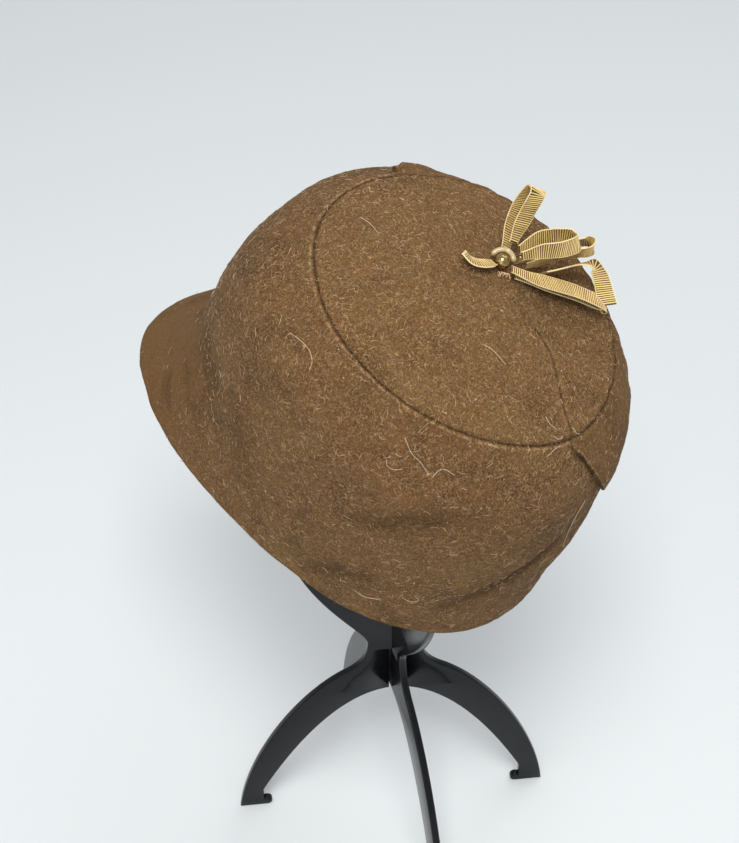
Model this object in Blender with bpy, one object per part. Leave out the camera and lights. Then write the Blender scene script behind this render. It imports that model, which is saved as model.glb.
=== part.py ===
"""Felt cloche hat with a ribbon bow, tipped back on a stand of two crossing ribbed plates.

The hat is drawn in its own frame, then tipped back and seated on the stand:
front of the hat -Y, wearer's left +X, up +Z, origin on the crown's axis at the level of the side rim.
A place on the wall is a direction (0 front, 90 left, 180 back, 270 right, in degrees)
and a level (0 on the rim, 1 at the seam of the tip).
"""
import math

import bmesh
import bpy
from mathutils import Matrix, Vector, geometry
from mathutils.bvhtree import BVHTree

MM = 0.001

# Hat
CROWN_LENGTH = 205 * MM
CROWN_WIDTH = 165 * MM
CROWN_DEPTH = 130 * MM
TIP_RISE = 13 * MM
PEAK_REACH = 23 * MM
PEAK_DROP = 24 * MM
FELT = 2 * MM
LAP_DEPTH = 5 * MM
LAP_NOTCH = 0.35
CREASE_WIDTH = 6 * MM
CREASE_DEPTH = 1.6 * MM
RIPPLE = 0.8 * MM
BOW_DENT_DEPTH = 2.5 * MM
BOW_DENT_WIDTH = 17 * MM

# Bow
RIBBON_WIDTH = 8.8 * MM
RIBBON_THICKNESS = 1.0 * MM
BOW_REACH = 50 * MM
BEAD_RADIUS = 3.5 * MM
COLLAR_RADIUS = 1.2 * MM

# Stand
STAND_RADIUS = 90 * MM
LEG_WIDTH = 17 * MM
CROTCH_LEVEL = 104 * MM
NECK_LEVEL = 144 * MM
NECK_WIDTH = 29 * MM
BALLOON_RADIUS = 60 * MM
BALLOON_LEVEL = 335 * MM
BALLOON_WIDTH = 14 * MM
BALLOON_START = 262 * MM
PLATE = 4 * MM
PLATE_CHAMFER = 0.6 * MM
NUB_RADIUS = 3 * MM
LEG_SPLAY = 39.0
NECK_EASE = 0.10
FLARE_EASE = 0.36

# How the hat sits
TIP_BACK = 25.7
HAT_BACK = -1.7 * MM
HAT_RIGHT = 12.5 * MM
HAT_MIDDLE = 0.47

GAP = 0.3 * MM
SLOT_CLEARANCE = 0.3 * MM

# Colours, linear
FELT_BROWN = (0.16, 0.085, 0.035)
RIBBON_GOLD = (0.45, 0.30, 0.09)
GILT = (0.80, 0.68, 0.42)
CREAM = (0.75, 0.68, 0.50)
BLACK = (0.012, 0.012, 0.014)

# Levels where the wall and the tip stop short of the line of their seam
SEAM_LEVEL = 1 - 0.5 * GAP / CROWN_DEPTH
SEAM_SHARE = 1 - 1.2 * GAP / CROWN_WIDTH

# Mesh fineness
DIRECTIONS = 108
WALL_LEVELS = 9
TIP_RINGS = 5
PANEL_LEVELS = 5
CURVE_STEPS = 8
RIBBON_STEPS = 3
COLLAR_STEPS = 8
COLLAR_SIDES = 8

# Wall sections, one row to a level: reach at directions 0, 30, ... 180 degrees,
# as shares of the oval that CROWN_LENGTH and CROWN_WIDTH give there
SECTIONS = (
    # level, front, 30,    60,    side,  120,   150,   back
    (0.00, 0.985, 0.990, 0.968, 0.956, 0.997, 1.040, 1.040),
    (0.18, 0.988, 0.996, 0.980, 0.973, 1.014, 1.030, 1.016),
    (0.40, 0.980, 0.998, 1.002, 1.001, 1.035, 1.018, 0.996),
    (0.62, 0.968, 0.996, 1.008, 1.005, 1.017, 0.988, 0.938),
    (0.84, 0.888, 0.945, 0.992, 0.962, 0.945, 0.912, 0.862),
    (1.00, 0.725, 0.741, 0.784, 0.793, 0.758, 0.716, 0.694),
)

# How fast the shoulder turns in at the seam, against its straight run there
SHOULDER_TURN = 1.25

# Heights round the hat, shares of CROWN_DEPTH; the rim also drops at the peak
OUTLINES = (
    # direction, rim,  seam
    (0.0, -0.02, 0.970),
    (30.0, -0.02, 0.986),
    (60.0, -0.01, 1.002),
    (90.0, -0.005, 1.010),
    (120.0, 0.005, 1.008),
    (150.0, 0.012, 0.998),
    (180.0, 0.010, 0.975),
)

# Peak round the front: reach and drop are shares of PEAK_REACH and PEAK_DROP,
# and start is the level where it turns out of the wall
PEAK = (
    # direction, reach, drop, start
    (0.0, 1.00, 0.90, 0.20),
    (30.0, 0.45, 0.29, 0.32),
    (60.0, 0.08, 0.03, 0.36),
    (90.0, 0.00, 0.00, 0.25),
    (120.0, 0.00, 0.00, 0.20),
    (150.0, 0.00, 0.00, 0.20),
    (180.0, 0.00, 0.00, 0.20),
)

# Powers of the peak's curve outwards and downwards
PEAK_CURL = 1.35
PEAK_DIP = 1.1

# Lower edge of the lapped panel, which runs back from its first row to its last
LAP_LINE = (
    # direction, level
    (164.0, 0.965),
    (172.0, 0.87),
    (184.0, 0.69),
    (205.0, 0.55),
    (235.0, 0.47),
    (265.0, 0.50),
    (295.0, 0.65),
    (318.0, 0.85),
    (331.0, 0.965),
)

# Creases pressed into the wall (and one soft ridge), each along a line between two places;
# width and depth are shares of CREASE_WIDTH and CREASE_DEPTH
CREASES = (
    # from direction, level, to direction, level, width, depth
    (103.0, 0.54, 134.0, 0.80, 1.0, 0.6),
    (101.0, 0.09, 120.0, 0.29, 0.9, 0.7),
    (171.0, 0.66, 142.0, 0.20, 0.9, 1.0),
    (52.0, 0.56, 72.0, 0.26, 1.4, -0.5),
    (22.0, 0.36, 50.0, 0.44, 1.6, 0.6),
    (228.0, 0.30, 262.0, 0.16, 1.2, 0.8),
)

# Ripples of the panel: where they begin and end round the hat and how softly, in degrees,
# their two wave counts round the hat, and the share of the depth in which they rise from the lap
RIPPLE_START = 170.0
RIPPLE_GROW = 60.0
RIPPLE_END = 340.0
RIPPLE_FADE = 20.0
RIPPLE_WAVES = (40, 23)
RIPPLE_RISE = 0.2

# Dent that the bow's low loop leaves in the tip, as shares of the half length and half width
BOW_DENT_BACK = 0.36
BOW_DENT_RIGHT = 0.30

# Power of the tip's dome, and the share of it next to the seam that keeps free of the dent
TIP_ROUND = 2.2
DENT_CLEAR = 0.12

# Bow: the bead's place on the tip, shares of the half length and half width
BEAD_BACK = -0.026
BEAD_RIGHT = 0.200

# Ribbons of the bow. Each runs smoothly through its rows, measured from the bead
# towards the back, towards the right and up from the felt, as shares of BOW_REACH.
# Its width lies along one vector at the start and one at the end (back, right, up).
# A loop has two gathered ends, a cut ribbon one.
RIBBONS = {
    "loop_upright": {
        "gathered_ends": 2,
        "width_start": (0.63, 0.71, -0.33),
        "width_end": (0.63, 0.71, -0.33),
        "route": (
            # back, right, up
            (-0.05, 0.12, 0.10),
            (-0.12, 0.25, 0.20),
            (-0.19, 0.39, 0.34),
            (-0.20, 0.43, 0.52),
            (-0.18, 0.42, 0.62),
            (-0.13, 0.35, 0.64),
            (-0.10, 0.29, 0.46),
            (-0.06, 0.20, 0.28),
            (-0.03, 0.14, 0.20),
        ),
    },
    "loop_upper": {
        "gathered_ends": 2,
        "width_start": (0.54, 0.28, -0.79),
        "width_end": (0.54, 0.28, -0.79),
        "route": (
            (0.045, 0.165, 0.155),
            (0.07, 0.26, 0.19),
            (0.13, 0.40, 0.26),
            (0.23, 0.48, 0.35),
            (0.33, 0.53, 0.41),
            (0.39, 0.46, 0.44),
            (0.33, 0.30, 0.40),
            (0.21, 0.17, 0.32),
            (0.10, 0.05, 0.22),
        ),
    },
    "loop_middle": {
        "gathered_ends": 2,
        "width_start": (0.19, 0.43, -0.88),
        "width_end": (0.19, 0.43, -0.88),
        "route": (
            (0.09, 0.15, 0.06),
            (0.22, 0.48, 0.10),
            (0.34, 0.74, 0.17),
            (0.43, 0.85, 0.26),
            (0.50, 0.80, 0.31),
            (0.49, 0.68, 0.29),
            (0.36, 0.51, 0.20),
            (0.26, 0.34, 0.12),
            (0.17, 0.15, 0.07),
        ),
    },
    "loop_low": {
        "gathered_ends": 2,
        "width_start": (0.23, -0.94, 0.26),
        "width_end": (0.23, -0.94, 0.26),
        "route": (
            (0.105, -0.035, 0.11),
            (0.29, 0.05, 0.12),
            (0.43, 0.16, 0.13),
            (0.63, 0.32, 0.16),
            (0.83, 0.43, 0.19),
            (0.91, 0.51, 0.16),
            (0.85, 0.49, 0.11),
            (0.65, 0.38, 0.08),
            (0.45, 0.22, 0.06),
            (0.15, 0.00, 0.04),
        ),
    },
    "loop_cross": {
        "gathered_ends": 1,
        "width_start": (-0.03, 0.66, -0.75),
        "width_end": (0.31, 0.91, -0.27),
        "route": (
            (0.33, 0.235, 0.10),
            (0.40, 0.36, 0.13),
            (0.49, 0.53, 0.18),
            (0.55, 0.61, 0.22),
            (0.60, 0.66, 0.25),
            (0.66, 0.68, 0.26),
            (0.76, 0.65, 0.26),
            (0.87, 0.58, 0.25),
        ),
    },
    "ribbon_tail": {
        "gathered_ends": 1,
        "width_start": (0.34, -0.80, 0.49),
        "width_end": (0.34, -0.80, 0.49),
        "route": (
            (-0.035, -0.075, 0.08),
            (-0.11, -0.17, 0.07),
            (-0.19, -0.22, 0.07),
            (-0.29, -0.22, 0.09),
        ),
    },
}

# Ribbons are gathered towards the bead: share of the width there, and share of the route it takes to open
GATHER = 0.55
GATHER_RUN = 0.18

# The collar leans with the bead's face: its axis, and the arc that it covers, from the back, in degrees
COLLAR_AXIS = (0.05, -0.60, 0.80)
COLLAR_START = 36.0
COLLAR_END = 190.0


def smooth(rows, x, column):
    """Value of one column at x, on a smooth curve through the rows."""
    xs = [row[0] for row in rows]
    ys = [row[column] for row in rows]
    if x <= xs[0]:
        return ys[0]
    if x >= xs[-1]:
        return ys[-1]
    i = max(k for k in range(len(xs) - 1) if xs[k] <= x)

    def slope(k):
        if k in (0, len(xs) - 1):
            return 0.0
        return (ys[k + 1] - ys[k - 1]) / (xs[k + 1] - xs[k - 1])

    span = xs[i + 1] - xs[i]
    t = (x - xs[i]) / span
    rise = (2 * t**3 - 3 * t**2 + 1) * ys[i] + (3 * t**2 - 2 * t**3) * ys[i + 1]
    return rise + span * ((t**3 - 2 * t**2 + t) * slope(i) + (t**3 - t**2) * slope(i + 1))


def ease(t):
    """Soft step from 0 to 1."""
    t = min(max(t, 0.0), 1.0)
    return t * t * (3 - 2 * t)


def folded(direction):
    """Direction on either side of the hat as 0 front to 180 back."""
    direction = direction % 360
    return min(direction, 360 - direction)


def oval_reach(direction):
    """Radius of the plain oval of CROWN_LENGTH by CROWN_WIDTH."""
    turn = math.radians(direction)
    a = CROWN_LENGTH / 2
    b = CROWN_WIDTH / 2
    return a * b / math.hypot(b * math.cos(turn), a * math.sin(turn))


def section_share(direction, level):
    """Share of the oval at any direction and level, smooth both ways."""
    side = folded(direction)
    ring = [(30.0 * k, ) + tuple(row[1 + k] for row in SECTIONS) for k in range(7)]
    column = [(row[0], smooth(ring, side, 1 + i)) for i, row in enumerate(SECTIONS)]
    if level <= SECTIONS[-2][0]:
        return smooth(column, level, 1)
    # the shoulder turns in faster and faster up to the seam
    low, high = column[-2], column[-1]
    before = column[-3]
    span = high[0] - low[0]
    t = (level - low[0]) / span
    start = (high[1] - before[1]) / (high[0] - before[0])
    end = SHOULDER_TURN * (high[1] - low[1]) / span
    rise = (2 * t**3 - 3 * t**2 + 1) * low[1] + (3 * t**2 - 2 * t**3) * high[1]
    return rise + span * ((t**3 - 2 * t**2 + t) * start + (t**3 - t**2) * end)


def crease_push(direction, level):
    """How far the creases press the wall in at this place."""
    push = 0.0
    for from_dir, from_level, to_dir, to_level, width, depth in CREASES:
        ring = math.radians(1) * oval_reach(from_dir)
        bx, by = (to_dir - from_dir) * ring, (to_level - from_level) * CROWN_DEPTH
        px = ((direction - from_dir + 180) % 360 - 180) * ring
        py = (level - from_level) * CROWN_DEPTH
        t = min(max((px * bx + py * by) / (bx * bx + by * by), 0.0), 1.0)
        away = math.hypot(px - t * bx, py - t * by) / (width * CREASE_WIDTH)
        fade = math.sin(math.pi * (0.1 + 0.8 * t))
        push += depth * CREASE_DEPTH * fade * math.exp(-away**2)
    return push


def lap_level(direction):
    """Level of the lapped panel's lower edge, 1 where there is no panel."""
    direction = direction % 360
    if direction < LAP_LINE[0][0] - LAP_NOTCH or direction > LAP_LINE[-1][0] + LAP_NOTCH:
        return 1.0
    return smooth(LAP_LINE, direction, 1)


def ripple_push(direction, level):
    """Soft ripples of the panel's eased edge, strongest at the right front."""
    inside = ease((direction % 360 - RIPPLE_START) / RIPPLE_GROW)
    inside *= ease((RIPPLE_END - direction % 360) / RIPPLE_FADE)
    short, long = RIPPLE_WAVES
    wave = math.cos(math.radians(direction * short)) + 0.5 * math.cos(math.radians(direction * long + short))
    return RIPPLE * inside * ease((level - lap_level(direction)) / RIPPLE_RISE) * wave / 2


def wall_point(direction, level):
    """Point on the outside of the plain wall."""
    side = folded(direction)
    turn = math.radians(direction)
    reach = oval_reach(direction) * section_share(direction, level)
    start = smooth(PEAK, side, 3)
    out = max(0.0, 1 - level / start)**PEAK_CURL
    reach += PEAK_REACH * smooth(PEAK, side, 1) * out
    reach -= crease_push(direction, level)
    reach += ripple_push(direction, level)
    rim = smooth(OUTLINES, side, 1) * CROWN_DEPTH
    seam = smooth(OUTLINES, side, 2) * CROWN_DEPTH
    height = rim + (seam - rim) * level
    height -= PEAK_DROP * smooth(PEAK, side, 2) * max(0.0, 1 - level / start)**PEAK_DIP
    return Vector((math.sin(turn) * reach, -math.cos(turn) * reach, height))


def tip_point(direction, share):
    """Point on the outside of the tip; share is 1 at the seam and 0 in the middle."""
    seam = wall_point(direction, 1.0)
    middle = sum(row[2] for row in OUTLINES) / len(OUTLINES) * CROWN_DEPTH
    x, y = seam.x * share, seam.y * share
    height = middle + (seam.z - middle) * share**2 + TIP_RISE * (1 - share**TIP_ROUND)
    dent_x = x + BOW_DENT_RIGHT * CROWN_WIDTH / 2
    dent_y = y - BOW_DENT_BACK * CROWN_LENGTH / 2
    dent = BOW_DENT_DEPTH * math.exp(-(math.hypot(dent_x, dent_y) / BOW_DENT_WIDTH)**2)
    return Vector((x, y, height - dent * ease((1 - share) / DENT_CLEAR)))


def tip_height(x, y):
    """Height of the tip's outside over a place in the hat's frame."""
    direction = math.degrees(math.atan2(x, -y))
    seam = wall_point(direction, 1.0)
    share = math.hypot(x, y) / math.hypot(seam.x, seam.y)
    return tip_point(direction, min(share, 1.0)).z


def outward(point_at, direction, place):
    """Unit normal of a surface, pointing out of the hat."""
    step = 0.01
    along = point_at(direction + 1.0, place) - point_at(direction - 1.0, place)
    low = max(place - step, 0.0)
    high = min(place + step, 1.0)
    up = point_at(direction, high) - point_at(direction, low)
    normal = along.cross(up).normalized()
    middle = Vector((0, 0, CROWN_DEPTH * 0.4))
    return normal if normal.dot(point_at(direction, place) - middle) > 0 else -normal


def inner_point(point_at, direction, place, proud=0.0):
    """Point on the inside of the felt, square to its outside."""
    return point_at(direction, place) + outward(point_at, direction, place) * (proud - FELT)


def seam_inner(point, direction):
    """Inside of the felt at the tip's seam, on the mitre between wall and tip."""
    wall = outward(wall_point, direction, 1.0)
    tip = outward(tip_point, direction, 1.0)
    mitre = (wall + tip).normalized()
    return point - mitre * FELT / mitre.dot(wall)


def new_object(name, verts, faces, material, parent=None):
    """Closed mesh object, smooth apart from its sharp edges."""
    mesh = bpy.data.meshes.new(name)
    mesh.from_pydata([tuple(v) for v in verts], [], faces)
    mesh.validate()
    mesh.update()
    mesh.shade_smooth()
    mesh.set_sharp_from_angle(angle=math.radians(40))
    mesh.materials.append(material)
    obj = bpy.data.objects.new(name, mesh)
    bpy.context.scene.collection.objects.link(obj)
    obj.parent = parent
    return obj


def new_material(name, colour, roughness, metallic=0.0):
    material = bpy.data.materials.new(name)
    material.use_nodes = True
    shader = material.node_tree.nodes["Principled BSDF"]
    shader.inputs["Base Color"].default_value = (*colour, 1.0)
    shader.inputs["Roughness"].default_value = roughness
    shader.inputs["Metallic"].default_value = metallic
    return material


def shell_ring(outer, inner, closed):
    """Faces of a felt wall: outer and inner are equal grids of rows up the wall."""
    rows, count = len(outer), len(outer[0])
    verts = [v for row in outer for v in row] + [v for row in inner for v in row]
    base = rows * count

    def out(r, c):
        return r * count + c % count

    def inn(r, c):
        return base + r * count + c % count

    faces = []
    columns = count if closed else count - 1
    for c in range(columns):
        for r in range(rows - 1):
            faces.append((out(r, c), out(r, c + 1), out(r + 1, c + 1), out(r + 1, c)))
            faces.append((inn(r, c), inn(r + 1, c), inn(r + 1, c + 1), inn(r, c + 1)))
        faces.append((out(0, c), inn(0, c), inn(0, c + 1), out(0, c + 1)))
        top = rows - 1
        faces.append((out(top, c), out(top, c + 1), inn(top, c + 1), inn(top, c)))
    if not closed:
        last = count - 1
        for r in range(rows - 1):
            faces.append((out(r, 0), out(r + 1, 0), inn(r + 1, 0), inn(r, 0)))
            faces.append((out(r, last), inn(r, last), inn(r + 1, last), out(r + 1, last)))
    return verts, faces


def wall_top(direction):
    """Level of the wall's upper edge: the seam, or a little above the lap line."""
    lap = lap_level(direction)
    return min(lap + under_lap(lap), SEAM_LEVEL)


def under_lap(lap):
    """How far up the wall goes on under the panel."""
    return min(LAP_DEPTH / CROWN_DEPTH, (1 - lap) * 0.25)


def wall_columns():
    """Directions of the wall's columns: even ones, and close ones where it steps down under the panel's ends."""
    start, end = LAP_LINE[0][0], LAP_LINE[-1][0]
    ends = [start - 2 * LAP_NOTCH, start - LAP_NOTCH * 0.99, start]
    ends += [end, end + LAP_NOTCH * 0.99, end + 2 * LAP_NOTCH]
    even = [360.0 * c / DIRECTIONS for c in range(DIRECTIONS)]
    return sorted([d for d in even if min(abs(d - e) for e in ends) > LAP_NOTCH] + ends)


def make_side_wall(material, parent):
    outer, inner = [], []
    for k in range(WALL_LEVELS + 1):
        # levels close up towards the rim and the seam
        share = 0.5 - 0.5 * math.cos(math.pi * k / WALL_LEVELS)
        share = 0.55 * share + 0.45 * k / WALL_LEVELS
        row_out, row_in = [], []
        for direction in wall_columns():
            level = share * wall_top(direction)
            point = wall_point(direction, level)
            row_out.append(point)
            if level > SEAM_LEVEL - 0.001:
                row_in.append(seam_inner(point, direction))
            else:
                row_in.append(inner_point(wall_point, direction, level))
        outer.append(row_out)
        inner.append(row_in)
    verts, faces = shell_ring(outer, inner, True)
    return new_object("side_wall", verts, faces, material, parent)


def make_lapped_panel(material, parent):
    start, end = LAP_LINE[0][0], LAP_LINE[-1][0]
    step = 360.0 / DIRECTIONS
    directions = [start] + [step * k for k in range(math.ceil(start / step + 0.3), math.floor(end / step - 0.3) + 1)]
    directions.append(end)
    outer, inner = [], []
    for k in range(PANEL_LEVELS + 1):
        row_out, row_in = [], []
        for direction in directions:
            lap = lap_level(direction)
            hem = wall_top(direction)
            # the first span covers the wall's hem, the others share the rest
            above = max(k - 1, 0) / (PANEL_LEVELS - 1)
            level = lap if k == 0 else hem + (SEAM_LEVEL - hem) * above
            proud = (FELT + 1.3 * GAP) * (1 - ease(above / 0.6))
            point = wall_point(direction, level)
            row_out.append(point + outward(wall_point, direction, level) * proud)
            if k == PANEL_LEVELS:
                row_in.append(seam_inner(point, direction))
            else:
                row_in.append(inner_point(wall_point, direction, level, proud))
        outer.append(row_out)
        inner.append(row_in)
    verts, faces = shell_ring(outer, inner, False)
    return new_object("lapped_panel", verts, faces, material, parent)


def make_tip_panel(material, parent):
    shares = [SEAM_SHARE * math.sin(math.pi / 2 * (1 - k / TIP_RINGS)) for k in range(TIP_RINGS)]
    outer, inner = [], []
    for share in shares:
        row_out, row_in = [], []
        for c in range(DIRECTIONS):
            direction = 360.0 * c / DIRECTIONS
            point = tip_point(direction, share)
            row_out.append(point)
            if share == SEAM_SHARE:
                row_in.append(seam_inner(point, direction))
            else:
                row_in.append(inner_point(tip_point, direction, share))
        outer.append(row_out)
        inner.append(row_in)
    verts = [v for row in outer for v in row] + [v for row in inner for v in row]
    top = len(verts)
    verts += [tip_point(0, 0), tip_point(0, 0) - Vector((0, 0, FELT))]
    n, rows = DIRECTIONS, len(shares)
    base = rows * n
    faces = []
    for c in range(n):
        d = (c + 1) % n
        for r in range(rows - 1):
            a, b = r * n, (r + 1) * n
            faces.append((a + c, a + d, b + d, b + c))
            faces.append((base + a + c, base + b + c, base + b + d, base + a + d))
        last = (rows - 1) * n
        faces.append((last + c, last + d, top))
        faces.append((base + last + d, base + last + c, top + 1))
        faces.append((c, base + c, base + d, d))
    return new_object("tip_panel", verts, faces, material, parent)


def bead_place():
    """Foot of the bead on the tip, in the hat's frame without its height."""
    return Vector((-BEAD_RIGHT * CROWN_WIDTH / 2, BEAD_BACK * CROWN_LENGTH / 2))


def hat_vector(back, right, up):
    """Vector in the hat's frame from its parts towards the back, the right and up."""
    return Vector((-right, back, up))


def bow_point(back, right, up):
    """Point of the bow, its rise counted from the felt under it."""
    foot = bead_place()
    x = foot.x - right * BOW_REACH
    y = foot.y + back * BOW_REACH
    return Vector((x, y, tip_height(x, y) + up * BOW_REACH))


def through(points, steps):
    """Smooth curve through the points, with steps spans between neighbours."""
    padded = [2 * points[0] - points[1]] + points + [2 * points[-1] - points[-2]]
    curve = []
    for k in range(len(points) - 1):
        a, b, c, d = padded[k:k + 4]
        for j in range(steps):
            t = j / steps
            curve.append(0.5 * (2 * b + (c - a) * t + (2 * a - 5 * b + 4 * c - d) * t**2
                                + (3 * b - a - 3 * c + d) * t**3))
    return curve + [points[-1]]


def make_ribbon(name, shape, material, parent):
    spine = through([bow_point(*row) for row in shape["route"]], RIBBON_STEPS)
    first = hat_vector(*shape["width_start"])
    last = hat_vector(*shape["width_end"])
    count = len(spine)
    verts, faces = [], []
    for k, point in enumerate(spine):
        run = k / (count - 1)
        along = (spine[min(k + 1, count - 1)] - spine[max(k - 1, 0)]).normalized()
        across = first.lerp(last, ease(run))
        across = (across - across.dot(along) * along).normalized()
        face = along.cross(across)
        open_share = ease(run / GATHER_RUN)
        if shape["gathered_ends"] == 2:
            open_share = min(open_share, ease((1 - run) / GATHER_RUN))
        half = RIBBON_WIDTH / 2 * (GATHER + (1 - GATHER) * open_share)
        thick = RIBBON_THICKNESS / 2
        for side, rise in ((-1, -1), (1, -1), (1, 1), (-1, 1)):
            verts.append(point + across * half * side + face * thick * rise)
    for k in range(count - 1):
        a, b = 4 * k, 4 * k + 4
        faces += [(a + i, a + (i + 1) % 4, b + (i + 1) % 4, b + i) for i in range(4)]
    last_ring = 4 * (count - 1)
    faces += [(3, 2, 1, 0), (last_ring, last_ring + 1, last_ring + 2, last_ring + 3)]
    return new_object(name, verts, faces, material, parent)


def bead_centre():
    foot = bead_place()
    return Vector((foot.x, foot.y, tip_height(foot.x, foot.y) + GAP + BEAD_RADIUS))


def make_bead(material, parent):
    mesh = bpy.data.meshes.new("gilt_bead")
    shape = bmesh.new()
    bmesh.ops.create_uvsphere(shape, u_segments=16, v_segments=10, radius=BEAD_RADIUS)
    shape.to_mesh(mesh)
    shape.free()
    mesh.shade_smooth()
    mesh.materials.append(material)
    obj = bpy.data.objects.new("gilt_bead", mesh)
    bpy.context.scene.collection.objects.link(obj)
    obj.parent = parent
    obj.location = bead_centre()
    return obj


def make_collar(material, parent):
    """Pale wrap that arches over the bead's far side."""
    axis = hat_vector(*COLLAR_AXIS).normalized()
    back = hat_vector(1, 0, 0)
    first = (back - back.dot(axis) * axis).normalized()
    second = axis.cross(first)
    ring = BEAD_RADIUS + COLLAR_RADIUS + GAP
    centre = bead_centre()
    verts, faces = [], []
    for k in range(COLLAR_STEPS + 1):
        turn = math.radians(COLLAR_START + (COLLAR_END - COLLAR_START) * k / COLLAR_STEPS)
        out = first * math.cos(turn) + second * math.sin(turn)
        for j in range(COLLAR_SIDES):
            roll = 2 * math.pi * j / COLLAR_SIDES
            verts.append(centre + out * (ring + COLLAR_RADIUS * math.cos(roll))
                         + axis * COLLAR_RADIUS * math.sin(roll))
    for k in range(COLLAR_STEPS):
        a, b = k * COLLAR_SIDES, (k + 1) * COLLAR_SIDES
        for j in range(COLLAR_SIDES):
            i = (j + 1) % COLLAR_SIDES
            faces.append((a + j, b + j, b + i, a + i))
    end = COLLAR_STEPS * COLLAR_SIDES
    faces.append(tuple(range(COLLAR_SIDES)))
    faces.append(tuple(end + j for j in reversed(range(COLLAR_SIDES))))
    return new_object("bead_collar", verts, faces, material, parent)


def bend(a, b, c, d, steps):
    """Cubic curve from a to d, steered by b and c, without its last point."""
    points = []
    for k in range(steps):
        t = k / steps
        s = 1 - t
        points.append(tuple(s**3 * a[i] + 3 * s * s * t * b[i] + 3 * s * t * t * c[i] + t**3 * d[i] for i in (0, 1)))
    return points


def arc(centre, radius, start, end, steps):
    """Arc in degrees, without its last point."""
    turns = [math.radians(start + (end - start) * k / steps) for k in range(steps)]
    return [(centre[0] + radius * math.cos(t), centre[1] + radius * math.sin(t)) for t in turns]


def plate_outline():
    """Outer edge of a rib plate's right half, from the crotch at the axis round to the crown."""
    neck = NECK_WIDTH / 2
    toe = STAND_RADIUS
    heel = STAND_RADIUS - LEG_WIDTH + NUB_RADIUS * 0.4
    ankle = (heel + NUB_RADIUS * 1.3, NUB_RADIUS * 3.2)
    rise = CROTCH_LEVEL
    points = bend((0, rise), (STAND_RADIUS * 0.36, rise), (ankle[0] - STAND_RADIUS * 0.18, rise * 0.44),
                  ankle, CURVE_STEPS)
    points += arc((heel, NUB_RADIUS), NUB_RADIUS, 60, 270, 6)
    points += [(heel, 0.0), (toe, 0.0)]
    shoulder = (neck + LEG_WIDTH * 0.62, rise * 1.165)
    points += bend((toe, 0.0), (toe - STAND_RADIUS * 0.06, rise * 0.42),
                   (toe - STAND_RADIUS * 0.38, rise * 0.98), shoulder, CURVE_STEPS)[1:]
    points += bend(shoulder, (shoulder[0] - LEG_WIDTH * 0.45, shoulder[1] + LEG_WIDTH * 0.35),
                   (neck, NECK_LEVEL - LEG_WIDTH * 0.6), (neck, NECK_LEVEL), 5)
    lift = BALLOON_START - NECK_LEVEL
    points += bend((neck, NECK_LEVEL), (neck, NECK_LEVEL + lift * NECK_EASE),
                   (BALLOON_RADIUS, NECK_LEVEL + lift * FLARE_EASE), (BALLOON_RADIUS, BALLOON_START), CURVE_STEPS)
    points += [(BALLOON_RADIUS, BALLOON_START)]
    points += arc((0, BALLOON_LEVEL), BALLOON_RADIUS, 0, 90, CURVE_STEPS)
    return points + [(0, BALLOON_LEVEL + BALLOON_RADIUS)]


def balloon_hole():
    """Right half of the opening inside the upper rib, from the crown down to the neck."""
    inner = BALLOON_RADIUS - BALLOON_WIDTH
    floor = NECK_LEVEL + NECK_WIDTH
    points = [(0, BALLOON_LEVEL + inner)]
    points += arc((0, BALLOON_LEVEL), inner, 90, 0, CURVE_STEPS)[1:]
    points += [(inner, BALLOON_LEVEL)]
    points += bend((inner, BALLOON_START), (inner, floor + (BALLOON_START - floor) * 0.45),
                   (inner * 0.35, floor), (0, floor), CURVE_STEPS)
    return points + [(0, floor)]


def mirrored(half):
    """Full loop from a half that starts and ends on the axis."""
    return half + [(-x, z) for x, z in reversed(half[1:-1])]


def inset_loop(loop, by):
    """Loop moved sideways into the material, which lies on its left."""
    count = len(loop)
    moved = []
    for k in range(count):
        before, here, after = Vector(loop[k - 1]), Vector(loop[k]), Vector(loop[(k + 1) % count])
        first = (here - before).normalized()
        second = (after - here).normalized()
        side = Vector((-first.y - second.y, first.x + second.x)).normalized()
        cosine = max(side.dot(Vector((-first.y, first.x))), 0.5)
        moved.append(tuple(here + side * by / cosine))
    return moved


def slot_width():
    """Room that one plate needs to pass through the other at their crossing angle."""
    crossing = math.radians(2 * LEG_SPLAY)
    return PLATE * (1 + abs(math.cos(crossing))) / math.sin(crossing) + 2 * SLOT_CLEARANCE


def cutter_box(name, low, high, turn, parent):
    """Box that cuts a slot, hidden from view."""
    verts = [(x, y, z) for x in (low[0], high[0]) for y in (low[1], high[1]) for z in (low[2], high[2])]
    faces = [(0, 1, 3, 2), (4, 6, 7, 5), (0, 4, 5, 1), (2, 3, 7, 6), (0, 2, 6, 4), (1, 5, 7, 3)]
    mesh = bpy.data.meshes.new(name)
    mesh.from_pydata(verts, [], faces)
    obj = bpy.data.objects.new(name, mesh)
    bpy.context.scene.collection.objects.link(obj)
    obj.parent = parent
    obj.rotation_euler = (0, 0, turn)
    obj.hide_render = True
    obj.display_type = "WIRE"
    return obj


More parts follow.
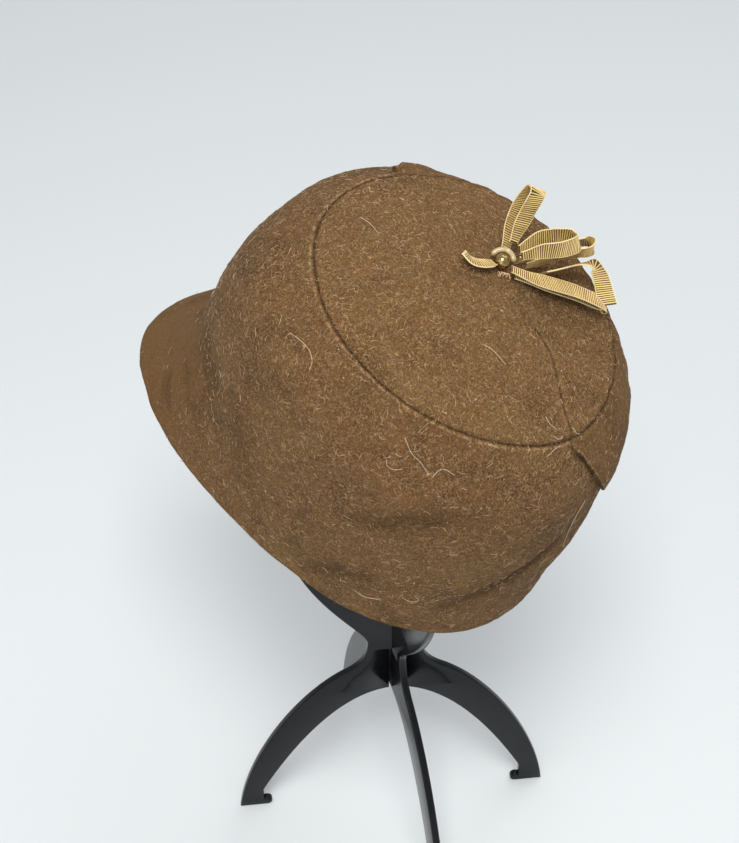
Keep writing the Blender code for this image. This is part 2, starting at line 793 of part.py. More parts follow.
def make_plate(name, turn, slot_from_top, material, parent):
    """One rib plate, slotted at the neck and at the crown where the other crosses it."""
    loops = [mirrored(plate_outline()), mirrored(balloon_hole())]
    # the outer loop runs anticlockwise and the hole clockwise, so the material is on the left of both
    loops[0] = orient(loops[0], True)
    loops[1] = orient(loops[1], False)
    half = PLATE / 2
    layers = ((-half, PLATE_CHAMFER), (-half + PLATE_CHAMFER, 0.0), (half - PLATE_CHAMFER, 0.0),
              (half, PLATE_CHAMFER))
    verts, faces, starts = [], [], []
    for depth, cut in layers:
        for loop in loops:
            starts.append(len(verts))
            verts += [(x, depth, z) for x, z in inset_loop(loop, cut)]
    for layer in range(3):
        for k, loop in enumerate(loops):
            a, b, n = starts[layer * 2 + k], starts[layer * 2 + 2 + k], len(loop)
            faces += [(a + i, b + i, b + (i + 1) % n, a + (i + 1) % n) for i in range(n)]
    caps = geometry.tessellate_polygon([[Vector((x, z, 0)) for x, z in inset_loop(loop, PLATE_CHAMFER)]
                                        for loop in loops])
    lift = starts[6]
    for tri in caps:
        a, b, c = (Vector(verts[i]) for i in tri)
        up = (b - a).cross(c - a).y
        front = tri if up < 0 else tuple(reversed(tri))
        faces.append(tuple(front))
        faces.append(tuple(lift + i for i in reversed(front)))
    plate = new_object(name, verts, faces, material, parent)
    plate.rotation_euler = (0, 0, turn)
    wide = slot_width() / 2
    beyond = PLATE * 2
    neck_middle = (CROTCH_LEVEL + NECK_LEVEL + NECK_WIDTH) / 2
    crown_middle = BALLOON_LEVEL + BALLOON_RADIUS - BALLOON_WIDTH / 2
    neck_top = NECK_LEVEL + NECK_WIDTH + beyond
    crown_top = BALLOON_LEVEL + BALLOON_RADIUS + beyond
    if slot_from_top:
        spans = ((neck_middle - GAP / 2, neck_top), (crown_middle - GAP / 2, crown_top))
    else:
        crown_foot = BALLOON_LEVEL + BALLOON_RADIUS - BALLOON_WIDTH - beyond
        spans = ((CROTCH_LEVEL - beyond, neck_middle + GAP / 2), (crown_foot, crown_middle + GAP / 2))
    for k, (low, high) in enumerate(spans):
        cutter = cutter_box(f"{name}_slot_{k}", (-wide, -beyond, low), (wide, beyond, high), turn, parent)
        cut = plate.modifiers.new(f"slot_{k}", "BOOLEAN")
        cut.operation = "DIFFERENCE"
        cut.object = cutter
    return plate


def orient(loop, anticlockwise):
    """Loop in the asked sense, seen with x to the right and z up."""
    area = sum(a[0] * b[1] - b[0] * a[1] for a, b in zip(loop, loop[1:] + loop[:1]))
    return loop if (area > 0) == anticlockwise else loop[::-1]


def balloon_probe():
    """Points along the top edges of both rib plates, in the stand's frame."""
    probe = []
    for turn in (90 - LEG_SPLAY, 90 + LEG_SPLAY):
        along = Vector((math.cos(math.radians(turn)), math.sin(math.radians(turn)), 0))
        across = Vector((-along.y, along.x, 0))
        for x, z in arc((0, BALLOON_LEVEL), BALLOON_RADIUS, 8, 172, 60):
            for side in (-0.5, 0.5):
                probe.append(along * x + across * PLATE * side + Vector((0, 0, z)))
    return probe


def seat_lift(hat_pieces, tilt):
    """Height of the hat's origin at which the upper half of the crown just clears the stand's crown."""
    lifts = []
    for piece in hat_pieces:
        mesh = piece.data
        upper = [tuple(p.vertices) for p in mesh.polygons if p.center.z > CROWN_DEPTH * HAT_MIDDLE]
        tree = BVHTree.FromPolygons([tilt @ v.co for v in mesh.vertices], upper)
        for point in balloon_probe():
            hit = tree.ray_cast(Vector((point.x, point.y, -CROWN_LENGTH)), Vector((0, 0, 1)))
            if hit[0] is not None:
                lifts.append(point.z + GAP - hit[0].z)
    return max(lifts)


def centre_on_floor(whole, pieces):
    """Move everything so that the feet stand on the floor and the bounding box is centred over the origin."""
    bpy.context.view_layer.update()
    places = [piece.matrix_world @ v.co for piece in pieces for v in piece.data.vertices]
    middle = [(min(p[k] for p in places) + max(p[k] for p in places)) / 2 for k in (0, 1)]
    whole.location = (-middle[0], -middle[1], 0.0)


def build():
    for obj in list(bpy.data.objects):
        bpy.data.objects.remove(obj)
    whole = bpy.data.objects.new("whole", None)
    hat = bpy.data.objects.new("hat", None)
    for empty in (whole, hat):
        bpy.context.scene.collection.objects.link(empty)
    hat.parent = whole

    felt = [make_side_wall(new_material("brown_felt_wall", FELT_BROWN, 0.95), hat),
            make_lapped_panel(new_material("brown_felt_panel", FELT_BROWN, 0.95), hat),
            make_tip_panel(new_material("brown_felt_tip", FELT_BROWN, 0.95), hat)]
    trim = [make_ribbon(name, shape, new_material(f"gold_{name}", RIBBON_GOLD, 0.7), hat)
            for name, shape in RIBBONS.items()]
    trim.append(make_bead(new_material("gilt", GILT, 0.25, 1.0), hat))
    trim.append(make_collar(new_material("cream_cord", CREAM, 0.7), hat))

    plates = [make_plate("rib_plate_a", math.radians(90 - LEG_SPLAY), True,
                         new_material("black_plastic_a", BLACK, 0.3), whole),
              make_plate("rib_plate_b", math.radians(90 + LEG_SPLAY), False,
                         new_material("black_plastic_b", BLACK, 0.3), whole)]

    # the middle of the crown's depth lies over the stand's axis, moved by HAT_BACK and HAT_RIGHT
    turn = Matrix.Rotation(math.radians(-TIP_BACK), 4, "X")
    middle = turn @ Vector((0, 0, CROWN_DEPTH * HAT_MIDDLE))
    shift = Matrix.Translation(Vector((-HAT_RIGHT, HAT_BACK - middle.y, 0)))
    lift = seat_lift(felt, shift @ turn)
    hat.matrix_basis = Matrix.Translation(Vector((0, 0, lift))) @ shift @ turn
    centre_on_floor(whole, felt + trim + plates)


build()
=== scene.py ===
"""Looks of the felt cloche hat on its black stand.

The felt, the ribbon bow and the stand's plates are made again here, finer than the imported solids,
from the same sizes and tables, apart from the far end of loop_cross. A place on the hat's wall is a
direction (0 front, 90 wearer's left, 180 back, 270 right, in degrees) and a level (0 on the rim,
1 at the seam of the tip).
"""
import math

import bmesh
import bpy
import numpy as np
from mathutils import Matrix, Vector, geometry, noise


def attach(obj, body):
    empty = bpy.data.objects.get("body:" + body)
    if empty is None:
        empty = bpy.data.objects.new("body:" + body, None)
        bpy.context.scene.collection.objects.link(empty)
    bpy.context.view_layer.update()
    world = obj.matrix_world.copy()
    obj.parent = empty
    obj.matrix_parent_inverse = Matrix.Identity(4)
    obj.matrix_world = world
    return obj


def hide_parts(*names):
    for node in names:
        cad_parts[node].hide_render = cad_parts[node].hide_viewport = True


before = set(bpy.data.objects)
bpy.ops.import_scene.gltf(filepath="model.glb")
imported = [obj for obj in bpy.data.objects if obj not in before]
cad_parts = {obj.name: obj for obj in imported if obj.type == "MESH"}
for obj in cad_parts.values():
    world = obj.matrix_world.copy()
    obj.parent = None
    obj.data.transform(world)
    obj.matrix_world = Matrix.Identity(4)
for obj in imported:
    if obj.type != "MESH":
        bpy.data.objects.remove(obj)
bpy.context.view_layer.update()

MM = 0.001
SEED = 7

# Hat
CROWN_LENGTH = 205 * MM
CROWN_WIDTH = 165 * MM
CROWN_DEPTH = 130 * MM
TIP_RISE = 13 * MM
PEAK_REACH = 23 * MM
PEAK_DROP = 24 * MM
FELT = 2 * MM
LAP_DEPTH = 5 * MM
CREASE_WIDTH = 6 * MM
CREASE_DEPTH = 1.6 * MM
RIPPLE = 0.8 * MM
BOW_DENT_DEPTH = 2.5 * MM
BOW_DENT_WIDTH = 17 * MM
GAP = 0.3 * MM
LAP_NOTCH = 0.35
DENT_CLEAR = 0.12
SEAM_LEVEL = 1 - 0.5 * GAP / CROWN_DEPTH
SEAM_SHARE = 1 - 1.2 * GAP / CROWN_WIDTH

# Felt's finer forms at its seams, and how closely its pieces are divided
SEAM_TUCK = 0.7 * MM
SEAM_SINK = 0.7 * MM
SEAM_SINK_WIDTH = 0.9 * MM
SEAM_CALM = 5 * MM
WALL_RIDGE_PLACE = 1.7 * MM
WALL_RIDGE_WIDTH = 1.0 * MM
PANEL_PROUD = FELT + 1.3 * GAP
PANEL_HEM_SHARE = 0.25
FELT_STEP = 0.75
CLOTH_FLAT_ANGLE = 60

# Bow
RIBBON_WIDTH = 8.8 * MM
RIBBON_CLOTH = 0.45 * MM
BOW_REACH = 50 * MM
BEAD_RADIUS = 3.5 * MM
COLLAR_RADIUS = 1.2 * MM
RIB_PITCH = 0.96 * MM
RIB_RADIUS = 0.33 * MM
HAIR_RADIUS = 0.08 * MM
HAIR_LIFT = 0.5 * MM

# Stand
STAND_RADIUS = 90 * MM
LEG_WIDTH = 17 * MM
CROTCH_LEVEL = 104 * MM
NECK_LEVEL = 144 * MM
NECK_WIDTH = 29 * MM
BALLOON_RADIUS = 60 * MM
BALLOON_LEVEL = 335 * MM
BALLOON_WIDTH = 14 * MM
BALLOON_START = 262 * MM
PLATE = 4 * MM
PLATE_ROUND = 0.9 * MM
NUB_RADIUS = 3 * MM
LEG_SPLAY = 39.0
NECK_EASE = 0.10
FLARE_EASE = 0.36
SLOT_CLEARANCE = 0.3 * MM

# Where the hat and the stand are
STAND_PLACE = (13.712 * MM, 25.183 * MM)
TIP_BACK = 25.7
HAT_PLACE = (1.212 * MM, -3.014 * MM, 260.359 * MM)

# The camera of the photograph, counted from the stand's foot
CAMERA_FROM_STAND = (0.4371, 0.2644, 0.7979)
CAMERA_TILT = 46
CAMERA_TURN = 122.65
LENS_MM = 65.98
SENSOR_MM = 36

# Reach of the wall as a share of the crown's oval, fitted to the photograph's outline,
# then changed at the front, the back and near the rim
SECTIONS = (
    # level, front, 30,    60,    side,  120,   150,   back
    (0.00, 0.985, 0.990, 0.968, 0.956, 0.997, 1.040, 1.040),
    (0.18, 0.988, 0.996, 0.980, 0.973, 1.014, 1.030, 1.016),
    (0.40, 0.980, 0.998, 1.002, 1.001, 1.035, 1.018, 0.996),
    (0.62, 0.968, 0.996, 1.008, 1.005, 1.017, 0.988, 0.938),
    (0.84, 0.888, 0.945, 0.992, 0.962, 0.945, 0.912, 0.862),
    (1.00, 0.725, 0.741, 0.784, 0.793, 0.758, 0.716, 0.694),
)
# Heights of rim and seam as shares of the crown's depth, after the same fit
OUTLINES = (
    # direction, rim,  seam
    (0.0, -0.02, 0.970),
    (30.0, -0.02, 0.986),
    (60.0, -0.01, 1.002),
    (90.0, -0.005, 1.010),
    (120.0, 0.005, 1.008),
    (150.0, 0.012, 0.998),
    (180.0, 0.010, 0.975),
)
# What the peak adds in reach and drop, split off from the same fit
PEAK = (
    # direction, reach, drop, start
    (0.0, 1.00, 0.90, 0.20),
    (30.0, 0.45, 0.29, 0.32),
    (60.0, 0.08, 0.03, 0.36),
    (90.0, 0.00, 0.00, 0.25),
    (120.0, 0.00, 0.00, 0.20),
    (150.0, 0.00, 0.00, 0.20),
    (180.0, 0.00, 0.00, 0.20),
)
LAP_LINE = (
    # direction, level
    (164.0, 0.965),
    (172.0, 0.87),
    (184.0, 0.69),
    (205.0, 0.55),
    (235.0, 0.47),
    (265.0, 0.50),
    (295.0, 0.65),
    (318.0, 0.85),
    (331.0, 0.965),
)
CREASES = (
    # from direction, level, to direction, level, width, depth
    (103.0, 0.54, 134.0, 0.80, 1.0, 0.6),
    (101.0, 0.09, 120.0, 0.29, 0.9, 0.7),
    (171.0, 0.66, 142.0, 0.20, 0.9, 1.0),
    (52.0, 0.56, 72.0, 0.26, 1.4, -0.5),
    (22.0, 0.36, 50.0, 0.44, 1.6, 0.6),
    (228.0, 0.30, 262.0, 0.16, 1.2, 0.8),
)
BOW_DENT_BACK = 0.36
BOW_DENT_RIGHT = 0.30
BEAD_BACK = -0.026
BEAD_RIGHT = 0.200

# Seam of the small dart in the tip, from its point to the tip's seam (right, back, in mm),
# worked out from places picked on the photograph
DART = ((4.1, 27.0), (2.9, 33.6), (-0.2, 41.0), (-5.4, 47.6), (-12.3, 57.0), (-18.0, 67.5))

# Routes from the bead in shares of the bow's reach, worked out from places picked on the photograph,
# with some points moved afterwards
RIBBONS = {
    "loop_upright": {
        "width_start": (0.63, 0.71, -0.33),
        "width_end": (0.63, 0.71, -0.33),
        "gathered_ends": 2,
        "route": (
            # back, right, up
            (-0.05, 0.12, 0.10),
            (-0.12, 0.25, 0.20),
            (-0.19, 0.39, 0.34),
            (-0.20, 0.43, 0.52),
            (-0.18, 0.42, 0.62),
            (-0.13, 0.35, 0.64),
            (-0.10, 0.29, 0.46),
            (-0.06, 0.20, 0.28),
            (-0.03, 0.14, 0.20),
        ),
    },
    "loop_upper": {
        "width_start": (0.54, 0.28, -0.79),
        "width_end": (0.54, 0.28, -0.79),
        "gathered_ends": 2,
        "route": (
            (0.045, 0.165, 0.155),
            (0.07, 0.26, 0.19),
            (0.13, 0.40, 0.26),
            (0.23, 0.48, 0.35),
            (0.33, 0.53, 0.41),
            (0.39, 0.46, 0.44),
            (0.33, 0.30, 0.40),
            (0.21, 0.17, 0.32),
            (0.10, 0.05, 0.22),
        ),
    },
    "loop_middle": {
        "width_start": (0.19, 0.43, -0.88),
        "width_end": (0.19, 0.43, -0.88),
        "gathered_ends": 2,
        "route": (
            (0.09, 0.15, 0.06),
            (0.22, 0.48, 0.10),
            (0.34, 0.74, 0.17),
            (0.43, 0.85, 0.26),
            (0.50, 0.80, 0.31),
            (0.49, 0.68, 0.29),
            (0.36, 0.51, 0.20),
            (0.26, 0.34, 0.12),
            (0.17, 0.15, 0.07),
        ),
    },
    "loop_low": {
        "width_start": (0.23, -0.94, 0.26),
        "width_end": (0.23, -0.94, 0.26),
        "gathered_ends": 2,
        "route": (
            (0.105, -0.035, 0.11),
            (0.29, 0.05, 0.12),
            (0.43, 0.16, 0.13),
            (0.63, 0.32, 0.16),
            (0.83, 0.43, 0.19),
            (0.91, 0.51, 0.16),
            (0.85, 0.49, 0.11),
            (0.65, 0.38, 0.08),
            (0.45, 0.22, 0.06),
            (0.15, 0.00, 0.04),
        ),
    },
    "loop_cross": {
        "width_start": (-0.03, 0.66, -0.75),
        "width_end": (0.42, 0.78, 0.20),
        "gathered_ends": 1,
        "route": (
            (0.33, 0.235, 0.10),
            (0.40, 0.36, 0.13),
            (0.49, 0.53, 0.18),
            (0.55, 0.61, 0.22),
            (0.60, 0.65, 0.25),
            (0.65, 0.66, 0.25),
            (0.73, 0.62, 0.24),
            (0.83, 0.55, 0.22),
            (0.93, 0.48, 0.20),
        ),
    },
    "ribbon_tail": {
        "width_start": (0.34, -0.80, 0.49),
        "width_end": (0.34, -0.80, 0.49),
        "gathered_ends": 1,
        "cut_end": True,
        "route": (
            (-0.035, -0.075, 0.08),
            (-0.11, -0.17, 0.07),
            (-0.19, -0.22, 0.07),
            (-0.29, -0.22, 0.09),
        ),
    },
}
GATHER = 0.55
GATHER_RUN = 0.18
COLLAR_AXIS = (0.05, -0.60, 0.80)
COLLAR_START = 36.0
COLLAR_END = 190.0
CLOTH_PROFILE = (
    # place across, as a share of the width, half thickness, as a share of the cloth's
    (-0.5, 0.25),
    (-0.49, 0.65),
    (-0.475, 0.60),
    (-0.455, 0.36),
    (-0.25, 0.32),
    (0, 0.32),
    (0.25, 0.32),
    (0.455, 0.36),
    (0.475, 0.60),
    (0.49, 0.65),
    (0.5, 0.25),
)
KNOT_THREADS = (
    # back, right, length to the back, length to the right, radius in mm
    (0.085, -0.060, 0.06, 0.02, 0.26),
    (0.100, -0.050, 0.04, 0.03, 0.22),
    (0.060, -0.075, 0.02, -0.05, 0.20),
    (0.115, -0.040, 0.07, 0.00, 0.24),
    (0.045, -0.095, -0.03, 0.03, 0.16),
)

# Long stray hairs on the wall (direction, level) and on the tip (right, back, in mm),
# most of them worked out from places picked on the photograph
WALL_HAIRS = (
    ((53.9, 0.909), (57.2, 0.921), (61.4, 0.928), (65.1, 0.918), (66.7, 0.900)),
    ((101.4, 0.850), (102.4, 0.834), (104.6, 0.834), (106.7, 0.849)),
    ((102.3, 0.929), (106.6, 0.903), (110.4, 0.893), (114.3, 0.872)),
    ((115.5, 0.869), (117.2, 0.902), (121.4, 0.900)),
    ((152.0, 0.975), (155.5, 0.989), (158.0, 0.994)),
    ((171.9, 0.493), (170.5, 0.60), (169.2, 0.696), (170.0, 0.778)),
    ((130.0, 0.235), (133.0, 0.22), (134.5, 0.245), (132.6, 0.27)),
    ((118.0, 0.15), (122.0, 0.14), (125.5, 0.165)),
)
TIP_HAIRS = (
    ((-5.0, -60.2), (-5.7, -55.4), (-8.6, -48.8)),
    ((-22.5, 15.4), (-21.5, 19.2), (-22.0, 27.0)),
    ((-24.2, 53.3), (-24.7, 56.5), (-23.6, 60.4)),
    ((-15.7, 65.1), (-15.6, 68.1), (-14.0, 69.0)),
    ((-22.7, 64.0), (-25.4, 63.6), (-27.0, 61.0)),
)

HAT_TURN = Matrix.Translation(Vector(HAT_PLACE)) @ Matrix.Rotation(math.radians(-TIP_BACK), 4, "X")
STAND_TURN = Matrix.Translation(Vector((*STAND_PLACE, 0.0)))


# Shapes worked out from the tables, on whole arrays of places

def hermite(xs, ys, x):
    """Smooth curve through the rows at every x; ys holds the rows' values on its last axis."""
    xs = np.asarray(xs, float)
    ys = np.broadcast_to(np.asarray(ys, float), np.shape(x) + (len(xs), ))
    slope = np.zeros_like(ys)
    slope[..., 1:-1] = (ys[..., 2:] - ys[..., :-2]) / (xs[2:] - xs[:-2])
    x = np.clip(x, xs[0], xs[-1])
    i = np.clip(np.searchsorted(xs, x, side="right") - 1, 0, len(xs) - 2)
    span = xs[i + 1] - xs[i]
    t = (x - xs[i]) / span

    def pick(values, k):
        return np.take_along_axis(values, k[..., None], -1)[..., 0]

    rise = (2 * t**3 - 3 * t**2 + 1) * pick(ys, i) + (3 * t**2 - 2 * t**3) * pick(ys, i + 1)
    return rise + span * ((t**3 - 2 * t**2 + t) * pick(slope, i) + (t**3 - t**2) * pick(slope, i + 1))


def smooth(rows, x, column):
    return hermite([row[0] for row in rows], [row[column] for row in rows], np.asarray(x, float))


def ease(t):
    t = np.clip(t, 0.0, 1.0)
    return t * t * (3 - 2 * t)


def folded(direction):
    direction = np.asarray(direction, float) % 360
    return np.minimum(direction, 360 - direction)


def oval_reach(direction):
    turn = np.radians(direction)
    a, b = CROWN_LENGTH / 2, CROWN_WIDTH / 2
    return a * b / np.hypot(b * np.cos(turn), a * np.sin(turn))


def section_share(direction, level):
    side = folded(direction)
    shares = np.stack([hermite(np.arange(7) * 30.0, row[1:], side) for row in SECTIONS], -1)
    levels = np.array([row[0] for row in SECTIONS])
    lower = hermite(levels, shares, level)
    low, high, before = shares[..., -2], shares[..., -1], shares[..., -3]
    span = levels[-1] - levels[-2]
    t = np.clip((level - levels[-2]) / span, 0, 1)
    start = (high - before) / (levels[-1] - levels[-3])
    end = 1.25 * (high - low) / span
    rise = (2 * t**3 - 3 * t**2 + 1) * low + (3 * t**2 - 2 * t**3) * high
    upper = rise + span * ((t**3 - 2 * t**2 + t) * start + (t**3 - t**2) * end)
    return np.where(level <= levels[-2], lower, upper)


def line_distance(direction, level, row):
    """Distance from a fold's line in metres along the wall, and the share of its length."""
    from_dir, from_level, to_dir, to_level = row[:4]
    ring = math.radians(1) * oval_reach(from_dir)
    bx, by = (to_dir - from_dir) * ring, (to_level - from_level) * CROWN_DEPTH
    px = ((direction - from_dir + 180) % 360 - 180) * ring
    py = (level - from_level) * CROWN_DEPTH
    t = np.clip((px * bx + py * by) / (bx * bx + by * by), 0, 1)
    return np.hypot(px - t * bx, py - t * by), t


def crease_push(direction, level):
    push = 0.0
    for row in CREASES:
        away, t = line_distance(direction, level, row)
        width, depth = row[4:]
        along = np.sin(np.pi * (0.1 + 0.8 * t))
        push = push + depth * CREASE_DEPTH * along * np.exp(-(away / (width * CREASE_WIDTH))**2)
    return push


def lap_level(direction):
    direction = np.asarray(direction, float) % 360
    inside = (direction >= LAP_LINE[0][0]) & (direction <= LAP_LINE[-1][0])
    return np.where(inside, smooth(LAP_LINE, direction, 1), 1.0)


def ripple_push(direction, level):
    around = direction % 360
    inside = ease((around - 170) / 60) * ease((340 - around) / 20)
    wave = np.cos(np.radians(direction * 40)) + 0.5 * np.cos(np.radians(direction * 23 + 40))
    return RIPPLE * inside * ease((level - lap_level(direction)) / 0.2) * wave * 0.5


def wall_point(direction, level):
    side = folded(direction)
    turn = np.radians(direction)
    start = smooth(PEAK, side, 3)
    turned = np.maximum(0.0, 1 - level / start)
    reach = oval_reach(direction) * section_share(direction, level)
    reach = reach + PEAK_REACH * smooth(PEAK, side, 1) * turned**1.35
    reach = reach - crease_push(direction, level) + ripple_push(direction, level)
    rim = smooth(OUTLINES, side, 1) * CROWN_DEPTH
    seam = smooth(OUTLINES, side, 2) * CROWN_DEPTH
    height = rim + (seam - rim) * level - PEAK_DROP * smooth(PEAK, side, 2) * turned**1.1
    return np.stack([np.sin(turn) * reach, -np.cos(turn) * reach, height], -1)


def tip_point(direction, share):
    seam = wall_point(direction, np.ones_like(share))
    middle = sum(row[2] for row in OUTLINES) / len(OUTLINES) * CROWN_DEPTH
    x, y = seam[..., 0] * share, seam[..., 1] * share
    height = middle + (seam[..., 2] - middle) * share**2 + TIP_RISE * (1 - share**2.2)
    dent_x = x + BOW_DENT_RIGHT * CROWN_WIDTH / 2
    dent_y = y - BOW_DENT_BACK * CROWN_LENGTH / 2
    dent = BOW_DENT_DEPTH * np.exp(-(np.hypot(dent_x, dent_y) / BOW_DENT_WIDTH)**2)
    return np.stack([x, y, height - dent * ease((1 - share) / DENT_CLEAR)], -1)


def tip_place(x, y):
    """Direction and share of a place on the tip, and its height."""
    direction = np.degrees(np.arctan2(x, -y))
    seam = wall_point(direction, np.ones_like(direction))
    share = np.minimum(np.hypot(x, y) / np.hypot(seam[..., 0], seam[..., 1]), 1.0)
    return direction, share, tip_point(direction, share)[..., 2]


def outward(point_at, direction, place):
    """Direction straight off the surface that point_at gives."""
    step = 0.01
    along = point_at(direction + 1.0, place) - point_at(direction - 1.0, place)
    above, below = np.minimum(place + step, 1.0), np.maximum(place - step, 0.0)
    up = point_at(direction, above) - point_at(direction, below)
    normal = np.cross(along, up)
    normal /= np.linalg.norm(normal, axis=-1, keepdims=True)
    middle = np.array([0, 0, CROWN_DEPTH * 0.4])
    facing = np.sum(normal * (point_at(direction, place) - middle), -1, keepdims=True)
    return np.where(facing > 0, normal, -normal)


def soft_noise(points, size, seed):
    """Smooth random value from about -1 to 1 at every point, with features of the given size."""
    flat = points.reshape(-1, 3) / size + seed * 17.3
    return np.array([noise.noise(Vector(p)) for p in flat]).reshape(points.shape[:-1]) * 1.6


# Meshes

def new_piece(name, verts, faces, material, turn=Matrix.Identity(4), flat_angle=40):
    """Mesh object at the origin, its place in its points."""
    mesh = bpy.data.meshes.new(name)
    verts = np.asarray(verts, float).reshape(-1, 3)
    place = np.array(turn)
    verts = verts @ place[:3, :3].T + place[:3, 3]
    mesh.from_pydata(verts.tolist(), [], faces)
    mesh.update()
    mesh.shade_smooth()
    mesh.set_sharp_from_angle(angle=math.radians(flat_angle))
    mesh.materials.append(material)
    piece = bpy.data.objects.new(name, mesh)
    bpy.context.scene.collection.objects.link(piece)
    return piece


def store(piece, name, values):
    """Keep one number a point on the piece's mesh, for its material."""
    attribute = piece.data.attributes.new(name, "FLOAT", "POINT")
    attribute.data.foreach_set("value", np.asarray(values, np.float32).ravel())


def grid_faces(rows, columns, wrap):
    """Quads of a grid of points, row after row."""
    r, c = np.meshgrid(np.arange(rows - 1), np.arange(columns if wrap else columns - 1), indexing="ij")
    d = (c + 1) % columns
    corners = [r * columns + c, r * columns + d, (r + 1) * columns + d, (r + 1) * columns + c]
    return np.stack(corners, -1).reshape(-1, 4)


def fix_facing(piece):
    """Turn all faces outwards."""
    shape = bmesh.new()
    shape.from_mesh(piece.data)
    bmesh.ops.recalc_face_normals(shape, faces=shape.faces)
    if shape.calc_volume(signed=True) < 0:
        bmesh.ops.reverse_faces(shape, faces=shape.faces)
    shape.to_mesh(piece.data)
    shape.free()


def felt_shell(name, outer, inner, wrap, bulges, material, marks):
    """Closed felt wall from grids of rows: outside up, over the edge, inside down.

    bulges gives the direction in which the low and the high edge are rounded, or None where an edge
    is sewn in. marks holds, by name, one row of values for each outer row.
    """
    def rounded(a, b, out):
        middle, half = (a + b) / 2, (a - b) / 2
        size = np.linalg.norm(half, axis=-1, keepdims=True)
        turns = [math.pi * k / 6 for k in range(1, 6)]
        return [middle + half * math.cos(t) + out * size * 0.8 * math.sin(t) for t in turns]

    ring = list(outer)
    source = list(range(len(outer)))
    if bulges[1] is not None:
        ring += rounded(outer[-1], inner[-1], bulges[1])
        source += [len(outer) - 1] * 5
    ring += list(inner[::-1])
    source += [None] * len(inner)
    if bulges[0] is not None:
        ring += rounded(inner[0], outer[0], bulges[0])
        source += [0] * 5
    count, columns = len(ring), len(ring[0])
    faces = grid_faces(count, columns, wrap).tolist()
    closing = grid_faces(2, columns, wrap)
    faces += np.where(closing >= columns, closing - columns, closing + (count - 1) * columns).tolist()
    if not wrap:
        faces += [[k * columns for k in range(count)], [k * columns + columns - 1 for k in range(count)]]
    piece = new_piece(name, np.concatenate(ring), faces, material, HAT_TURN, CLOTH_FLAT_ANGLE)
    for mark, rows in marks.items():
        plain = np.zeros(columns)
        store(piece, mark, np.concatenate([plain if s is None else rows[s] for s in source]))
    fix_facing(piece)
    return piece


def seam_mark(distance, width=0.5 * MM):
    return np.exp(-(distance / width)**2)


def seam_mitre(point, direction, depth, across):
    """Inner edge of the felt at the tip's seam, on the mitre of wall and tip, moved across it."""
    wall = outward(wall_point, direction, np.ones_like(direction))
    tip_face = outward(tip_point, direction, np.ones_like(direction))
    mitre = wall + tip_face
    mitre /= np.linalg.norm(mitre, axis=-1, keepdims=True)
    below = wall_point(direction, np.full_like(direction, 0.97))
    rise = wall_point(direction, np.ones_like(direction)) - below
    rise /= np.linalg.norm(rise, axis=-1, keepdims=True)
    return point - mitre * depth / np.sum(mitre * wall, -1, keepdims=True) + rise * across


def wall_columns(step):
    """Directions round the wall, with close ones where it steps down under the panel's ends."""
    start, end = LAP_LINE[0][0], LAP_LINE[-1][0]
    ends = [start - 2 * LAP_NOTCH, start - LAP_NOTCH, start, end, end + LAP_NOTCH, end + 2 * LAP_NOTCH]
    even = np.arange(0, 360, step)
    kept = [d for d in even if min(abs(d - e) for e in ends) > LAP_NOTCH]
    return np.array(sorted(kept + ends))


def hem_level(direction):
    """Upper edge of the wall: the seam, or a little above the lap line under the panel."""
    start, end = LAP_LINE[0][0] - LAP_NOTCH * 1.01, LAP_LINE[-1][0] + LAP_NOTCH * 1.01
    lap = smooth(LAP_LINE, direction, 1)
    hem = lap + np.minimum(LAP_DEPTH / CROWN_DEPTH, (1 - lap) * PANEL_HEM_SHARE)
    return np.where((direction > start) & (direction < end), hem, SEAM_LEVEL)


def felt_lumps(points, fade):
    """Uneven felt: soft hollows, and the grain of the matted fur."""
    wide = soft_noise(points, 16 * MM, 1) * 0.30 * MM
    middle = soft_noise(points, 6 * MM, 2) * 0.13 * MM
    fine = soft_noise(points, 2.2 * MM, 3) * 0.06 * MM
    return (wide + middle) * fade + fine * (0.3 + 0.7 * fade)


def rub_mark(direction, level):
    """Where the felt is worn smooth: the peak, and softly round the rim."""
    side = folded(direction)
    peak = ease((62 - side) / 34) * ease((0.46 - level) / 0.22)
    rim = 0.45 * ease((0.10 - level) / 0.10)
    return np.maximum(peak, rim)


def seam_calm(from_seam):
    """0 at the tip's seam, where the felt is pulled flat, and 1 away from it."""
    return 1 - np.exp(-(from_seam / SEAM_CALM)**2)


def wall_ridge(from_seam, height):
    """Low swelling of the felt beside the tip's seam."""
    return height * np.exp(-((from_seam - WALL_RIDGE_PLACE) / WALL_RIDGE_WIDTH)**2)


def lower_edge_bulge(outer):
    down = outer[0] - outer[1]
    return down / np.linalg.norm(down, axis=-1, keepdims=True)


